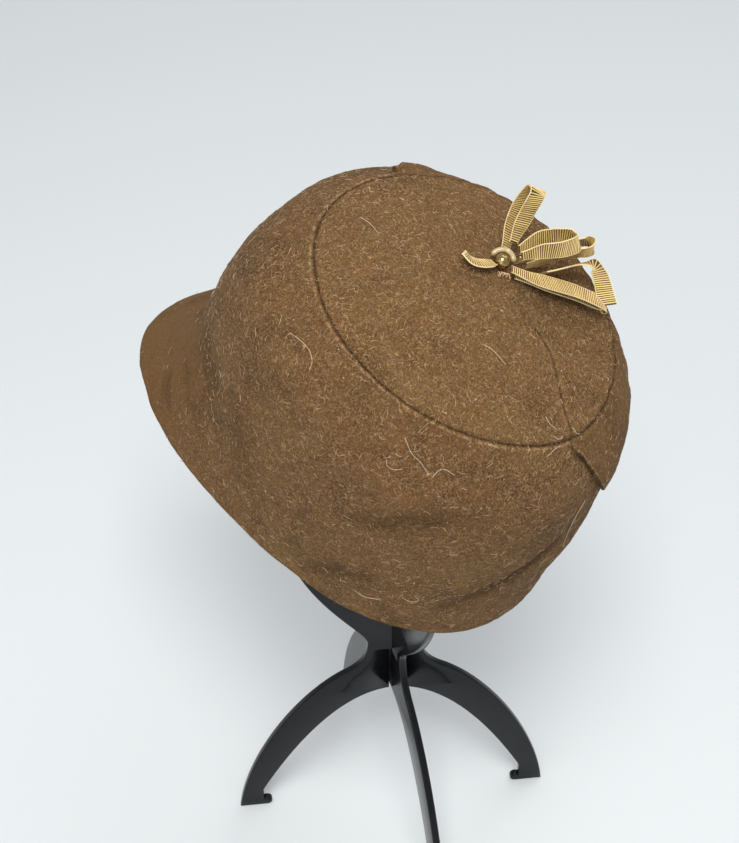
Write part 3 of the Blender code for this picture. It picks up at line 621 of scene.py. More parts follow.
def make_felt_wall():
    directions = wall_columns(FELT_STEP)
    shares = np.concatenate([np.linspace(0, 0.95, 84), np.linspace(0.955, 1, 24)])
    d, s = np.meshgrid(directions, shares)
    level = s * hem_level(d)
    points, normal = wall_point(d, level), outward(wall_point, d, level)
    from_seam = (1 - level) * CROWN_DEPTH
    sewn = seam_mark(from_seam, SEAM_SINK_WIDTH)
    lift = felt_lumps(points, seam_calm(from_seam))
    ridge = wall_ridge(from_seam, 0.35 * MM)
    stitches = np.sin(np.radians(d) * 95 + 2 * soft_noise(points, 9 * MM, 5))
    pucker = 0.16 * MM * stitches * np.exp(-(from_seam / (3 * MM))**2)
    outer = points + normal * (lift + ridge + pucker - SEAM_SINK * sewn)[..., None]
    inner_shares = np.concatenate([np.linspace(0, 0.9, 20), [0.95, 0.985]])
    d2, s2 = np.meshgrid(directions, inner_shares)
    level2 = s2 * hem_level(d2)
    inner = wall_point(d2, level2) - outward(wall_point, d2, level2) * FELT
    hem = hem_level(directions)
    sewn_edge = seam_mitre(wall_point(directions, hem), directions, FELT, SEAM_TUCK)
    edge = np.where((hem >= SEAM_LEVEL)[:, None], sewn_edge, inner[-1])
    inner = np.concatenate([inner, edge[None]])
    rub = rub_mark(d, level)
    marks = {
        "seam": seam_mark(from_seam),
        "edge": seam_mark(from_seam - 1.0 * MM, 0.35 * MM),
        # Painted shade: this mark darkens the felt along its creases.
        "painted_crease_shade": np.clip(np.abs(crease_push(d, level)) / CREASE_DEPTH, 0, 1),
        "rub": rub,
        "nap": np.clip(1 - 0.95 * rub, 0, 1),
    }
    return felt_shell("felt_wall", outer, inner, True, (lower_edge_bulge(outer), None), felt_side, marks)


def panel_place(direction, share):
    """Level of a place on the panel, and how far the panel stands off the wall there."""
    lap = smooth(LAP_LINE, direction, 1)
    hem = np.minimum(lap + LAP_DEPTH / CROWN_DEPTH, lap + (1 - lap) * PANEL_HEM_SHARE)
    level = lap + (SEAM_LEVEL - lap) * share
    above = np.clip((level - hem) / (SEAM_LEVEL - hem), 0, 1)
    return level, PANEL_PROUD * (1 - ease(above / 0.6))


def make_felt_panel():
    start, end = LAP_LINE[0][0], LAP_LINE[-1][0]
    directions = np.linspace(start, end, 300)
    shares = [np.linspace(0, 0.08, 10), np.linspace(0.1, 0.94, 42), np.linspace(0.95, 1, 14)]
    d, s = np.meshgrid(directions, np.concatenate(shares))
    level, proud = panel_place(d, s)
    points, normal = wall_point(d, level), outward(wall_point, d, level)
    from_seam = (1 - level) * CROWN_DEPTH
    lift = felt_lumps(points, seam_calm(from_seam))
    sewn = SEAM_SINK * seam_mark(from_seam, SEAM_SINK_WIDTH)
    outer = points + normal * (proud + lift + wall_ridge(from_seam, 0.3 * MM) - sewn)[..., None]
    d2, s2 = np.meshgrid(directions, np.linspace(0, 0.95, 14))
    level2, proud2 = panel_place(d2, s2)
    inner = wall_point(d2, level2) + outward(wall_point, d2, level2) * (proud2 - FELT)[..., None]
    top = wall_point(directions, np.full_like(directions, SEAM_LEVEL))
    inner = np.concatenate([inner, seam_mitre(top, directions, FELT, SEAM_TUCK)[None]])
    from_edge = (level - smooth(LAP_LINE, d, 1)) * CROWN_DEPTH
    marks = {
        "seam": np.maximum(seam_mark(from_seam), 0.8 * seam_mark(from_edge)),
        "edge": seam_mark(from_edge - 1.0 * MM, 0.4 * MM),
        "painted_crease_shade": np.zeros_like(level),
        # Set evenly over the whole panel, these draw all of it darker than the wall, with fewer fibres.
        "rub": np.full_like(level, 0.50),
        "nap": np.full_like(level, 0.6),
    }
    return felt_shell("felt_panel", outer, inner, False, (lower_edge_bulge(outer), None), felt_side, marks)


def dart_distance(x, y):
    """Distance on the tip from the dart's seam, from places in the hat's frame."""
    route = np.array(DART) * MM * np.array([-1, 1])
    best = np.full(np.shape(x), 1.0)
    for a, b in zip(route[:-1], route[1:]):
        run = b - a
        t = np.clip(((x - a[0]) * run[0] + (y - a[1]) * run[1]) / (run @ run), 0, 1)
        best = np.minimum(best, np.hypot(x - a[0] - t * run[0], y - a[1] - t * run[1]))
    return best


def make_felt_tip():
    directions = np.arange(0, 360, FELT_STEP)
    shares = np.concatenate([np.linspace(1, 0.955, 18), np.linspace(0.948, 0.03, 76)])
    d, s = np.meshgrid(directions, shares)
    place = s * SEAM_SHARE
    points, normal = tip_point(d, place), outward(tip_point, d, place)
    size = np.linalg.norm(tip_point(d, np.ones_like(d))[..., :2], axis=-1)
    from_seam = (1 - s) * size
    away = dart_distance(points[..., 0], points[..., 1])
    sewn = SEAM_SINK * seam_mark(from_seam, SEAM_SINK_WIDTH) + 0.45 * MM * seam_mark(away, SEAM_SINK_WIDTH)
    lift = felt_lumps(points, seam_calm(from_seam))
    ridge = 0.25 * MM * np.exp(-((from_seam - 2.6 * MM) / (1.4 * MM))**2)
    outer = points + normal * (lift + ridge - sewn)[..., None]
    inner_shares = np.linspace(0.965, 0.03, 18)
    d2, s2 = np.meshgrid(directions, inner_shares)
    inner = tip_point(d2, s2) - outward(tip_point, d2, s2) * FELT
    inner = np.concatenate([seam_mitre(points[0], directions, FELT, 0.0)[None], inner])
    count = len(directions)
    ring = list(outer[::-1]) + list(inner)
    verts = np.concatenate(ring)
    faces = grid_faces(len(ring), count, True).tolist()
    last = (len(ring) - 1) * count
    faces += [list(range(count)), [last + k for k in range(count)]]
    piece = new_piece("felt_tip", verts, faces, felt_top_painted_lighter, HAT_TURN, CLOTH_FLAT_ANGLE)
    seam = np.maximum(seam_mark(from_seam), 0.85 * seam_mark(away, 0.6 * MM))
    blank = np.zeros((len(inner), count))
    store(piece, "seam", np.concatenate([seam[::-1], blank]))
    store(piece, "edge", np.concatenate([0.6 * seam_mark(away - 1.3 * MM, 0.45 * MM)[::-1], blank]))
    store(piece, "rub", np.concatenate([np.full_like(seam, 0.1), blank]))
    store(piece, "nap", np.concatenate([np.ones_like(seam), blank]))
    fix_facing(piece)
    return piece


# Fibres, specks and ribs, each spread by a node tree with named inputs

class Tree:
    """Builds a geometry node tree: named inputs, nodes with settings and values."""

    def __init__(self, name, inputs):
        self.tree = bpy.data.node_groups.new(name, "GeometryNodeTree")
        face = self.tree.interface
        face.new_socket("Geometry", in_out="INPUT", socket_type="NodeSocketGeometry")
        face.new_socket("Geometry", in_out="OUTPUT", socket_type="NodeSocketGeometry")
        for label, kind in inputs:
            face.new_socket(label, in_out="INPUT", socket_type=kind)
        self.given = self.tree.nodes.new("NodeGroupInput").outputs

    def put(self, kind, settings=None, values=None):
        node = self.tree.nodes.new(kind)
        for key, value in (settings or {}).items():
            setattr(node, key, value)
        for key, value in (values or {}).items():
            socket = node.inputs[key]
            if isinstance(value, bpy.types.NodeSocket):
                self.tree.links.new(value, socket)
            else:
                socket.default_value = value
        return node.outputs

    def join(self, parts):
        node = self.tree.nodes.new("GeometryNodeJoinGeometry")
        for part in reversed(parts):
            self.tree.links.new(part, node.inputs[0])
        return node.outputs[0]

    def random(self, low, high, seed, kind="FLOAT"):
        slots = {"FLOAT": (2, 3, 1), "INT": (4, 5, 2), "FLOAT_VECTOR": (0, 1, 0)}[kind]
        out = self.put("FunctionNodeRandomValue", {"data_type": kind},
                       {slots[0]: low, slots[1]: high, "Seed": seed})
        return out[slots[2]]

    def times(self, a, b):
        return self.put("ShaderNodeMath", {"operation": "MULTIPLY"}, {0: a, 1: b})[0]

    def scatter(self):
        """Points spread over the felt, denser where its nap is full, each with a random turn."""
        nap = self.put("GeometryNodeInputNamedAttribute", {"data_type": "FLOAT"}, {"Name": "nap"})[0]
        density = self.times(nap, self.given["Density"])
        spread = self.put("GeometryNodeDistributePointsOnFaces", {"distribute_method": "RANDOM"},
                          {"Mesh": self.given["Geometry"], "Density": density, "Seed": self.given["Seed"]})
        turn = self.put("FunctionNodeAxisAngleToRotation", None,
                        {"Axis": (0, 0, 1), "Angle": self.random(0.0, math.tau, 3)})[0]
        rotation = self.put("FunctionNodeRotateRotation", {"rotation_space": "LOCAL"},
                            {0: spread["Rotation"], 1: turn})[0]
        return spread["Points"], rotation

    def finish(self, made, material):
        real = self.put("GeometryNodeRealizeInstances", None, {0: made})[0]
        done = self.put("GeometryNodeSetMaterial", None, {"Geometry": real, "Material": material})[0]
        end = self.tree.nodes.new("NodeGroupOutput")
        self.tree.links.new(done, end.inputs[0])


def grown(name, source_mesh, tree, values, material):
    """Plain mesh piece from a tree run on a mesh, with the tree's named inputs set."""
    carrier = bpy.data.objects.new(name + "_carrier", source_mesh)
    bpy.context.scene.collection.objects.link(carrier)
    grow = carrier.modifiers.new("grow", "NODES")
    grow.node_group = tree.tree
    items = tree.tree.interface.items_tree
    sockets = {item.name: item.identifier for item in items if item.in_out == "INPUT"}
    for label, value in values.items():
        grow[sockets[label]] = value
    evaluated = carrier.evaluated_get(bpy.context.evaluated_depsgraph_get())
    mesh = bpy.data.meshes.new_from_object(evaluated)
    bpy.data.objects.remove(carrier)
    piece = bpy.data.objects.new(name, mesh)
    mesh.name = name
    bpy.context.scene.collection.objects.link(piece)
    mesh.materials.clear()
    mesh.materials.append(material)
    mesh.shade_smooth()
    return piece


def fibre_tree(name, material, bends):
    """Short bent fibres lying on the felt, denser where its nap is full."""
    tree = Tree(name, (("Density", "NodeSocketFloat"), ("Length", "NodeSocketFloat"),
                       ("Thickness", "NodeSocketFloat"), ("Seed", "NodeSocketInt")))
    given = tree.given
    points, rotation = tree.scatter()
    thin = tree.put("ShaderNodeMath", {"operation": "DIVIDE"}, {0: given["Thickness"], 1: given["Length"]})[0]
    profile = tree.put("GeometryNodeCurvePrimitiveCircle", {"mode": "RADIUS"},
                       {"Resolution": 3, "Radius": thin})[0]
    shapes = []
    for steps, middle, end in bends:
        curve = tree.put("GeometryNodeCurveQuadraticBezier", None,
                         {"Resolution": steps, "Start": (-0.5, 0, -0.01), "Middle": middle, "End": end})[0]
        body = tree.put("GeometryNodeCurveToMesh", None,
                        {"Curve": curve, "Profile Curve": profile, "Fill Caps": True})[0]
        shapes.append(tree.put("GeometryNodeGeometryToInstance", None, {0: body})[0])
    size = tree.times(given["Length"], tree.random(0.5, 1.5, 5))
    fibres = tree.put("GeometryNodeInstanceOnPoints", None,
                      {"Points": points, "Instance": tree.join(shapes), "Pick Instance": True,
                       "Instance Index": tree.random(0, len(bends) - 1, 9, "INT"),
                       "Rotation": rotation, "Scale": size})[0]
    toned = tree.put("GeometryNodeStoreNamedAttribute", {"data_type": "FLOAT", "domain": "INSTANCE"},
                     {"Geometry": fibres, "Name": "tone", "Value": tree.random(0.0, 1.0, 11)})[0]
    tree.finish(toned, material)
    return tree


def speck_tree(name, material):
    """Tiny specks of lint."""
    tree = Tree(name, (("Density", "NodeSocketFloat"), ("Size", "NodeSocketFloat"),
                       ("Seed", "NodeSocketInt")))
    points, rotation = tree.scatter()
    ball = tree.put("GeometryNodeMeshIcoSphere", None, {"Radius": 1.0, "Subdivisions": 1})[0]
    stretch = tree.random((0.5, 0.5, 0.4), (1.6, 0.9, 0.8), 4, "FLOAT_VECTOR")
    size = tree.put("ShaderNodeVectorMath", {"operation": "SCALE"},
                    {0: stretch, "Scale": tree.given["Size"]})[0]
    specks = tree.put("GeometryNodeInstanceOnPoints", None,
                      {"Points": points, "Instance": ball, "Rotation": rotation, "Scale": size})[0]
    tree.finish(specks, material)
    return tree


def rib_tree(name, material):
    """Ribs across a ribbon: bars on loose points that hold the directions and the width there."""
    tree = Tree(name, (("Thickness", "NodeSocketFloat"), ))
    given = tree.given

    def read(label, kind):
        return tree.put("GeometryNodeInputNamedAttribute", {"data_type": kind}, {"Name": label})[0]

    profile = tree.put("GeometryNodeCurvePrimitiveCircle", {"mode": "RADIUS"},
                       {"Resolution": 6, "Radius": given["Thickness"]})[0]
    line = tree.put("GeometryNodeCurvePrimitiveLine", {"mode": "POINTS"},
                    {"Start": (-0.5, 0, 0), "End": (0.5, 0, 0)})[0]
    bar = tree.put("GeometryNodeCurveToMesh", None,
                   {"Curve": line, "Profile Curve": profile, "Fill Caps": True})[0]
    rotation = tree.put("FunctionNodeAxesToRotation", {"primary_axis": "X", "secondary_axis": "Z"},
                        {0: read("across", "FLOAT_VECTOR"), 1: read("facing", "FLOAT_VECTOR")})[0]
    scale = tree.put("ShaderNodeCombineXYZ", None, {0: read("rib_width", "FLOAT"), 1: 1.0, 2: 1.0})[0]
    ribs = tree.put("GeometryNodeInstanceOnPoints", None,
                    {"Points": given["Geometry"], "Instance": bar, "Rotation": rotation, "Scale": scale})[0]
    toned = tree.put("GeometryNodeStoreNamedAttribute", {"data_type": "FLOAT", "domain": "INSTANCE"},
                     {"Geometry": ribs, "Name": "rib", "Value": tree.random(0.7, 1.0, 11)})[0]
    tree.finish(toned, material)
    return tree


# Bow

def bead_place():
    return np.array([-BEAD_RIGHT * CROWN_WIDTH / 2, BEAD_BACK * CROWN_LENGTH / 2])


def hat_vector(back, right, up):
    return np.array([-right, back, up], float)


def bow_point(back, right, up):
    """Point of the bow, its rise counted from the felt under it."""
    foot = bead_place()
    x, y = foot[0] - right * BOW_REACH, foot[1] + back * BOW_REACH
    height = float(tip_place(np.array([x]), np.array([y]))[2][0])
    return np.array([x, y, height + up * BOW_REACH])


def through(points, steps):
    """Smooth curve through the points."""
    padded = [2 * points[0] - points[1]] + list(points) + [2 * points[-1] - points[-2]]
    curve = []
    for k in range(len(points) - 1):
        a, b, c, d = padded[k:k + 4]
        for j in range(steps):
            t = j / steps
            curve.append(0.5 * (2 * b + (c - a) * t + (2 * a - 5 * b + 4 * c - d) * t**2
                                + (3 * b - a - 3 * c + d) * t**3))
    return np.array(curve + [points[-1]])


def evened(curve, spacing):
    """The same curve with points at even spacing along it."""
    steps = np.linalg.norm(np.diff(curve, axis=0), axis=1)
    run = np.concatenate([[0], np.cumsum(steps)])
    count = max(int(run[-1] / spacing), 2)
    at = np.linspace(0, run[-1], count + 1)
    return np.stack([np.interp(at, run, curve[:, k]) for k in range(3)], -1)


def ribbon_frames(shape, spacing):
    """Spine of a ribbon with its directions across and off its face, and its width."""
    spine = evened(through([bow_point(*row) for row in shape["route"]], 24), spacing)
    count = len(spine)
    run = np.linspace(0, 1, count)[:, None]
    along = np.gradient(spine, axis=0)
    along /= np.linalg.norm(along, axis=1, keepdims=True)
    first, last = hat_vector(*shape["width_start"]), hat_vector(*shape["width_end"])
    across = first + (last - first) * ease(run)
    across -= np.sum(across * along, 1, keepdims=True) * along
    across /= np.linalg.norm(across, axis=1, keepdims=True)
    opened = ease(run[:, 0] / GATHER_RUN)
    if shape["gathered_ends"] == 2:
        opened = np.minimum(opened, ease((1 - run[:, 0]) / GATHER_RUN))
    width = RIBBON_WIDTH * (GATHER + (1 - GATHER) * opened)
    return spine, across, np.cross(along, across), width


def make_ribbon(name, shape, material, tree):
    """Strip of ribbon with its selvedges, and the ribs woven across it."""
    spine, across, facing, width = ribbon_frames(shape, 0.5 * MM)
    upper = [(p, t * RIBBON_CLOTH) for p, t in CLOTH_PROFILE]
    profile = upper + [(p, -t) for p, t in upper[::-1]]
    count, sides = len(spine), len(profile)
    verts = [spine[:, None] + across[:, None] * (p * width)[:, None, None] + facing[:, None] * t
             for p, t in profile]
    verts = np.concatenate(verts, axis=1).reshape(-1, 3)
    faces = grid_faces(count, sides, True).tolist()
    faces += [list(range(sides))[::-1], [(count - 1) * sides + k for k in range(sides)]]
    strip = new_piece(name, verts, faces, material, HAT_TURN, CLOTH_FLAT_ANGLE)
    fix_facing(strip)
    pale = np.tile([1.0 if abs(p) > 0.47 else 0.0 for p, t in profile], count)
    if shape.get("cut_end"):
        pale[-3 * sides:] = 1.0
    store(strip, "pale", pale)
    store(strip, "rib", np.zeros(len(verts)))

    at, over, off, wide = (values[1:-1] for values in ribbon_frames(shape, RIB_PITCH))
    place = np.array(HAT_TURN)
    turn = place[:3, :3]
    mesh = bpy.data.meshes.new(name + "_ribs")
    mesh.from_pydata((at @ turn.T + place[:3, 3]).tolist(), [], [])
    rib_width = (wide * 0.93).astype(np.float32)
    mesh.attributes.new("rib_width", "FLOAT", "POINT").data.foreach_set("value", rib_width)
    for label, values in (("across", over), ("facing", off)):
        given = (values @ turn.T).astype(np.float32).ravel()
        mesh.attributes.new(label, "FLOAT_VECTOR", "POINT").data.foreach_set("vector", given)
    return strip, grown(name + "_ribs", mesh, tree, {"Thickness": RIB_RADIUS}, material)


def bead_centre():
    foot = bead_place()
    height = float(tip_place(foot[:1], foot[1:])[2][0])
    return np.array([foot[0], foot[1], height + GAP + BEAD_RADIUS])


def tube(points, radii, sides, first=None):
    """Points and faces of a round tube along a path, closed at both ends."""
    points = np.asarray(points, float)
    along = np.gradient(points, axis=0)
    along /= np.linalg.norm(along, axis=1, keepdims=True)
    guide = np.array([0.31, 0.17, 0.94]) if first is None else first
    verts, faces = [], []
    for k, (point, run) in enumerate(zip(points, along)):
        guide = guide - run * (guide @ run)
        guide /= np.linalg.norm(guide)
        other = np.cross(run, guide)
        for j in range(sides):
            turn = math.tau * j / sides
            verts.append(point + (guide * math.cos(turn) + other * math.sin(turn)) * radii[k])
    count = len(points)
    faces = grid_faces(count, sides, True).tolist()
    faces += [list(range(sides))[::-1], [(count - 1) * sides + j for j in range(sides)]]
    return verts, faces


def make_bead():
    """Gilt ball with a fine turned line round it."""
    rings, sides = 40, 64
    centre = bead_centre()
    axis = hat_vector(*COLLAR_AXIS)
    axis /= np.linalg.norm(axis)
    side = np.cross(axis, [0.3, 0.2, 0.9])
    side /= np.linalg.norm(side)
    other = np.cross(axis, side)
    verts = []
    for k in range(1, rings):
        polar = math.pi * k / rings
        radius = BEAD_RADIUS * (1 - 0.012 * math.exp(-((polar - 1.25) / 0.035)**2))
        for j in range(sides):
            turn = math.tau * j / sides
            spoke = side * math.cos(turn) + other * math.sin(turn)
            verts.append(centre + (axis * math.cos(polar) + spoke * math.sin(polar)) * radius)
    faces = grid_faces(rings - 1, sides, True).tolist()
    last = (rings - 2) * sides
    faces += [list(range(sides)), [last + j for j in range(sides)]]
    piece = new_piece("gilt_ball", verts, faces, gilt, HAT_TURN)
    fix_facing(piece)
    return piece


def make_collar():
    """Pale smooth wrap that arches over the bead's far side, its ends tucked in."""
    axis = hat_vector(*COLLAR_AXIS)
    axis /= np.linalg.norm(axis)
    back = hat_vector(1, 0, 0)
    first = back - axis * (back @ axis)
    first /= np.linalg.norm(first)
    second = np.cross(axis, first)
    ring = BEAD_RADIUS + COLLAR_RADIUS + 0.2 * MM
    count = 72
    turns = np.radians(np.linspace(COLLAR_START, COLLAR_END, count))
    spokes = first * np.cos(turns)[:, None] + second * np.sin(turns)[:, None]
    path = bead_centre() + spokes * ring
    end = np.minimum(np.arange(count), count - 1 - np.arange(count)) / 6
    radii = COLLAR_RADIUS * np.sqrt(1 - (1 - np.clip(end, 0.05, 1))**2) * (1 + 0.04 * np.sin(turns * 9))
    verts, faces = tube(path, radii, 20, axis)
    return new_piece("pale_wrap", verts, faces, cream, HAT_TURN)


def add_tube(verts, faces, path, radius, sides):
    """One more round tube in the lists of a piece that holds several."""
    more, some = tube(path, np.full(len(path), radius), sides)
    faces += [[len(verts) + i for i in face] for face in some]
    verts += more


def make_knot():
    """Loose thread ends at the foot of the bead."""
    verts, faces = [], []
    for back, right, more_back, more_right, size in KNOT_THREADS:
        marks = [(back - more_back / 2, right - more_right / 2, 0.010), (back, right, 0.045),
                 (back + more_back / 2, right + more_right / 2, 0.012)]
        add_tube(verts, faces, through([bow_point(*m) for m in marks], 6), size * MM, 6)
    return new_piece("knot_threads", verts, faces, thread, HAT_TURN)


def make_hairs():
    """Long pale hairs that lie on the felt."""
    verts, faces = [], []
    lying = [(wall_point, *np.array(route).T) for route in WALL_HAIRS]
    for route in TIP_HAIRS:
        right, back = np.array(route).T * MM
        direction, share, _ = tip_place(-right, back)
        lying.append((tip_point, direction, share))
    for point_at, direction, share in lying:
        points = point_at(direction, share) + outward(point_at, direction, share) * HAIR_LIFT
        add_tube(verts, faces, through(list(points), 8), HAIR_RADIUS, 5)
    return new_piece("stray_hairs", verts, faces, hair, HAT_TURN)


# Stand

def bend(a, b, c, d, steps):
    """Points of a curve from a to d that leaves towards b and arrives from c, without its last."""
    points = []
    for k in range(steps):
        t = k / steps
        s = 1 - t
        points.append(tuple(s**3 * a[i] + 3 * s * s * t * b[i] + 3 * s * t * t * c[i] + t**3 * d[i]
                            for i in (0, 1)))
    return points


def arc(centre, radius, start, end, steps):
    turns = [math.radians(start + (end - start) * k / steps) for k in range(steps)]
    return [(centre[0] + radius * math.cos(t), centre[1] + radius * math.sin(t)) for t in turns]


def plate_outline(fine):
    """Outer edge of a rib plate's right half, from the crotch at the axis round to the crown."""
    neck, toe, rise = NECK_WIDTH / 2, STAND_RADIUS, CROTCH_LEVEL
    heel = STAND_RADIUS - LEG_WIDTH + NUB_RADIUS * 0.4
    ankle = (heel + NUB_RADIUS * 1.3, NUB_RADIUS * 3.2)
    points = bend((0, rise), (STAND_RADIUS * 0.36, rise),
                  (ankle[0] - STAND_RADIUS * 0.18, rise * 0.44), ankle, fine)
    points += arc((heel, NUB_RADIUS), NUB_RADIUS, 60, 270, fine)
    points += [(heel, 0.0), (toe, 0.0)]
    shoulder = (neck + LEG_WIDTH * 0.62, rise * 1.165)
    points += bend((toe, 0.0), (toe - STAND_RADIUS * 0.06, rise * 0.42),
                   (toe - STAND_RADIUS * 0.38, rise * 0.98), shoulder, fine)[1:]
    points += bend(shoulder, (shoulder[0] - LEG_WIDTH * 0.45, shoulder[1] + LEG_WIDTH * 0.35),
                   (neck, NECK_LEVEL - LEG_WIDTH * 0.6), (neck, NECK_LEVEL), fine)
    lift = BALLOON_START - NECK_LEVEL
    points += bend((neck, NECK_LEVEL), (neck, NECK_LEVEL + lift * NECK_EASE),
                   (BALLOON_RADIUS, NECK_LEVEL + lift * FLARE_EASE), (BALLOON_RADIUS, BALLOON_START), fine)
    points += [(BALLOON_RADIUS, BALLOON_START)]
    points += arc((0, BALLOON_LEVEL), BALLOON_RADIUS, 0, 90, fine)
    return points + [(0, BALLOON_LEVEL + BALLOON_RADIUS)]


def balloon_hole(fine):
    """Right half of the opening inside the upper rib."""
    inner, floor = BALLOON_RADIUS - BALLOON_WIDTH, NECK_LEVEL + NECK_WIDTH
    points = [(0, BALLOON_LEVEL + inner)]
    points += arc((0, BALLOON_LEVEL), inner, 90, 0, fine)[1:]
    points += [(inner, BALLOON_LEVEL)]
    points += bend((inner, BALLOON_START), (inner, floor + (BALLOON_START - floor) * 0.45),
                   (inner * 0.35, floor), (0, floor), fine)
    return points + [(0, floor)]


def mirrored(half):
    return half + [(-x, z) for x, z in reversed(half[1:-1])]


def orient(loop, anticlockwise):
    area = sum(a[0] * b[1] - b[0] * a[1] for a, b in zip(loop, loop[1:] + loop[:1]))
    return loop if (area > 0) == anticlockwise else loop[::-1]


def inset_loop(loop, by):
    """Loop moved sideways into the material, which lies on its left."""
    moved = []
    for k in range(len(loop)):
        before, here, after = Vector(loop[k - 1]), Vector(loop[k]), Vector(loop[(k + 1) % len(loop)])
        first, second = (here - before).normalized(), (after - here).normalized()
        side = Vector((-first.y - second.y, first.x + second.x)).normalized()
        cosine = max(side.dot(Vector((-first.y, first.x))), 0.5)
        moved.append(tuple(here + side * by / cosine))
    return moved


def slot_cutter(low, high, turn):
    verts = [(x, y, z) for x in (low[0], high[0]) for y in (low[1], high[1]) for z in (low[2], high[2])]
    faces = [(0, 1, 3, 2), (4, 6, 7, 5), (0, 4, 5, 1), (2, 3, 7, 6), (0, 2, 6, 4), (1, 5, 7, 3)]
    return new_piece("slot_cutter", verts, faces, stand_black, STAND_TURN @ Matrix.Rotation(turn, 4, "Z"))


def make_plate(name, turn, slot_from_top):
    """One rib plate with rounded edges, slotted where the other crosses it."""
    loops = [orient(mirrored(plate_outline(22)), True), orient(mirrored(balloon_hole(22)), False)]
    half, steps = PLATE / 2, 4
    rounding = [(half - PLATE_ROUND * (1 - math.sin(t)), PLATE_ROUND * (1 - math.cos(t)))
                for t in np.linspace(0, math.pi / 2, steps + 1)]
    layers = [(-depth, cut) for depth, cut in reversed(rounding)] + rounding
    verts, faces, starts = [], [], []
    for depth, cut in layers:
        for loop in loops:
            starts.append(len(verts))
            verts += [(x, depth, z) for x, z in inset_loop(loop, cut)]
    for layer in range(len(layers) - 1):
        for k, loop in enumerate(loops):
            a, b, n = starts[layer * 2 + k], starts[layer * 2 + 2 + k], len(loop)
            faces += [(a + i, b + i, b + (i + 1) % n, a + (i + 1) % n) for i in range(n)]
    caps = geometry.tessellate_polygon([[Vector((x, z, 0)) for x, z in inset_loop(loop, PLATE_ROUND)]
                                        for loop in loops])
    lift = starts[(len(layers) - 1) * 2]
    for tri in caps:
        a, b, c = (Vector(verts[i]) for i in tri)
        front = tuple(tri) if (b - a).cross(c - a).y < 0 else tuple(reversed(tri))
        faces.append(front)
        faces.append(tuple(lift + i for i in reversed(front)))
    plate = new_piece(name, verts, faces, stand_black, STAND_TURN @ Matrix.Rotation(turn, 4, "Z"), 30)
    crossing = math.radians(2 * LEG_SPLAY)
    wide = PLATE * (1 + abs(math.cos(crossing))) / math.sin(crossing) / 2 + SLOT_CLEARANCE
    beyond = PLATE * 2
    neck_middle = (CROTCH_LEVEL + NECK_LEVEL + NECK_WIDTH) / 2
    crown_middle = BALLOON_LEVEL + BALLOON_RADIUS - BALLOON_WIDTH / 2
    if slot_from_top:
        spans = ((neck_middle - GAP / 2, NECK_LEVEL + NECK_WIDTH + beyond),
                 (crown_middle - GAP / 2, BALLOON_LEVEL + BALLOON_RADIUS + beyond))
    else:
        spans = ((CROTCH_LEVEL - beyond, neck_middle + GAP / 2),
                 (BALLOON_LEVEL + BALLOON_RADIUS - BALLOON_WIDTH - beyond, crown_middle + GAP / 2))
    for low, high in spans:
        cutter = slot_cutter((-wide, -beyond, low), (wide, beyond, high), turn)
        cut = plate.modifiers.new("slot", "BOOLEAN")
        cut.operation = "DIFFERENCE"
        cut.object = cutter
        mesh = bpy.data.meshes.new_from_object(plate.evaluated_get(bpy.context.evaluated_depsgraph_get()))
        plate.modifiers.clear()
        plate.data = mesh
        bpy.data.objects.remove(cutter)
    mesh.name = name
    return plate


# Materials

REDDISH = (0.185, 0.078, 0.030)
OLIVE = (0.150, 0.092, 0.028)
SEAM_SHADE = (0.022, 0.010, 0.004)


class Value:
    """Number or colour on a node's socket, on which sums can be written."""

    def __init__(self, finish, socket):
        self.finish, self.socket = finish, socket

    def _sum(self, operation, a, b):
        return self.finish.put("ShaderNodeMath", {"operation": operation}, {0: a, 1: b})

    def __add__(self, other):
        return self._sum("ADD", self, other)

    def __sub__(self, other):
        return self._sum("SUBTRACT", self, other)

    def __mul__(self, other):
        return self._sum("MULTIPLY", self, other)

    def __rsub__(self, other):
        return self._sum("SUBTRACT", other, self)

    def __pow__(self, other):
        return self._sum("POWER", self, other)

    __radd__ = __add__
    __rmul__ = __mul__

    def over(self, low, high):
        """Soft step from 0 at low to 1 at high."""
        return self.finish.put("ShaderNodeMapRange", {"interpolation_type": "SMOOTHSTEP"},
                               {0: self, 1: low, 2: high})

    def near(self, middle, width):
        """1 where the value is close to middle, 0 past width from it."""
        away = self.finish.put("ShaderNodeMath", {"operation": "ABSOLUTE"}, {0: self - middle})
        return self.finish.put("ShaderNodeMapRange", {}, {0: away, 1: 0.0, 2: width, 3: 1.0, 4: 0.0})

    def most(self, other):
        return self._sum("MAXIMUM", self, other)


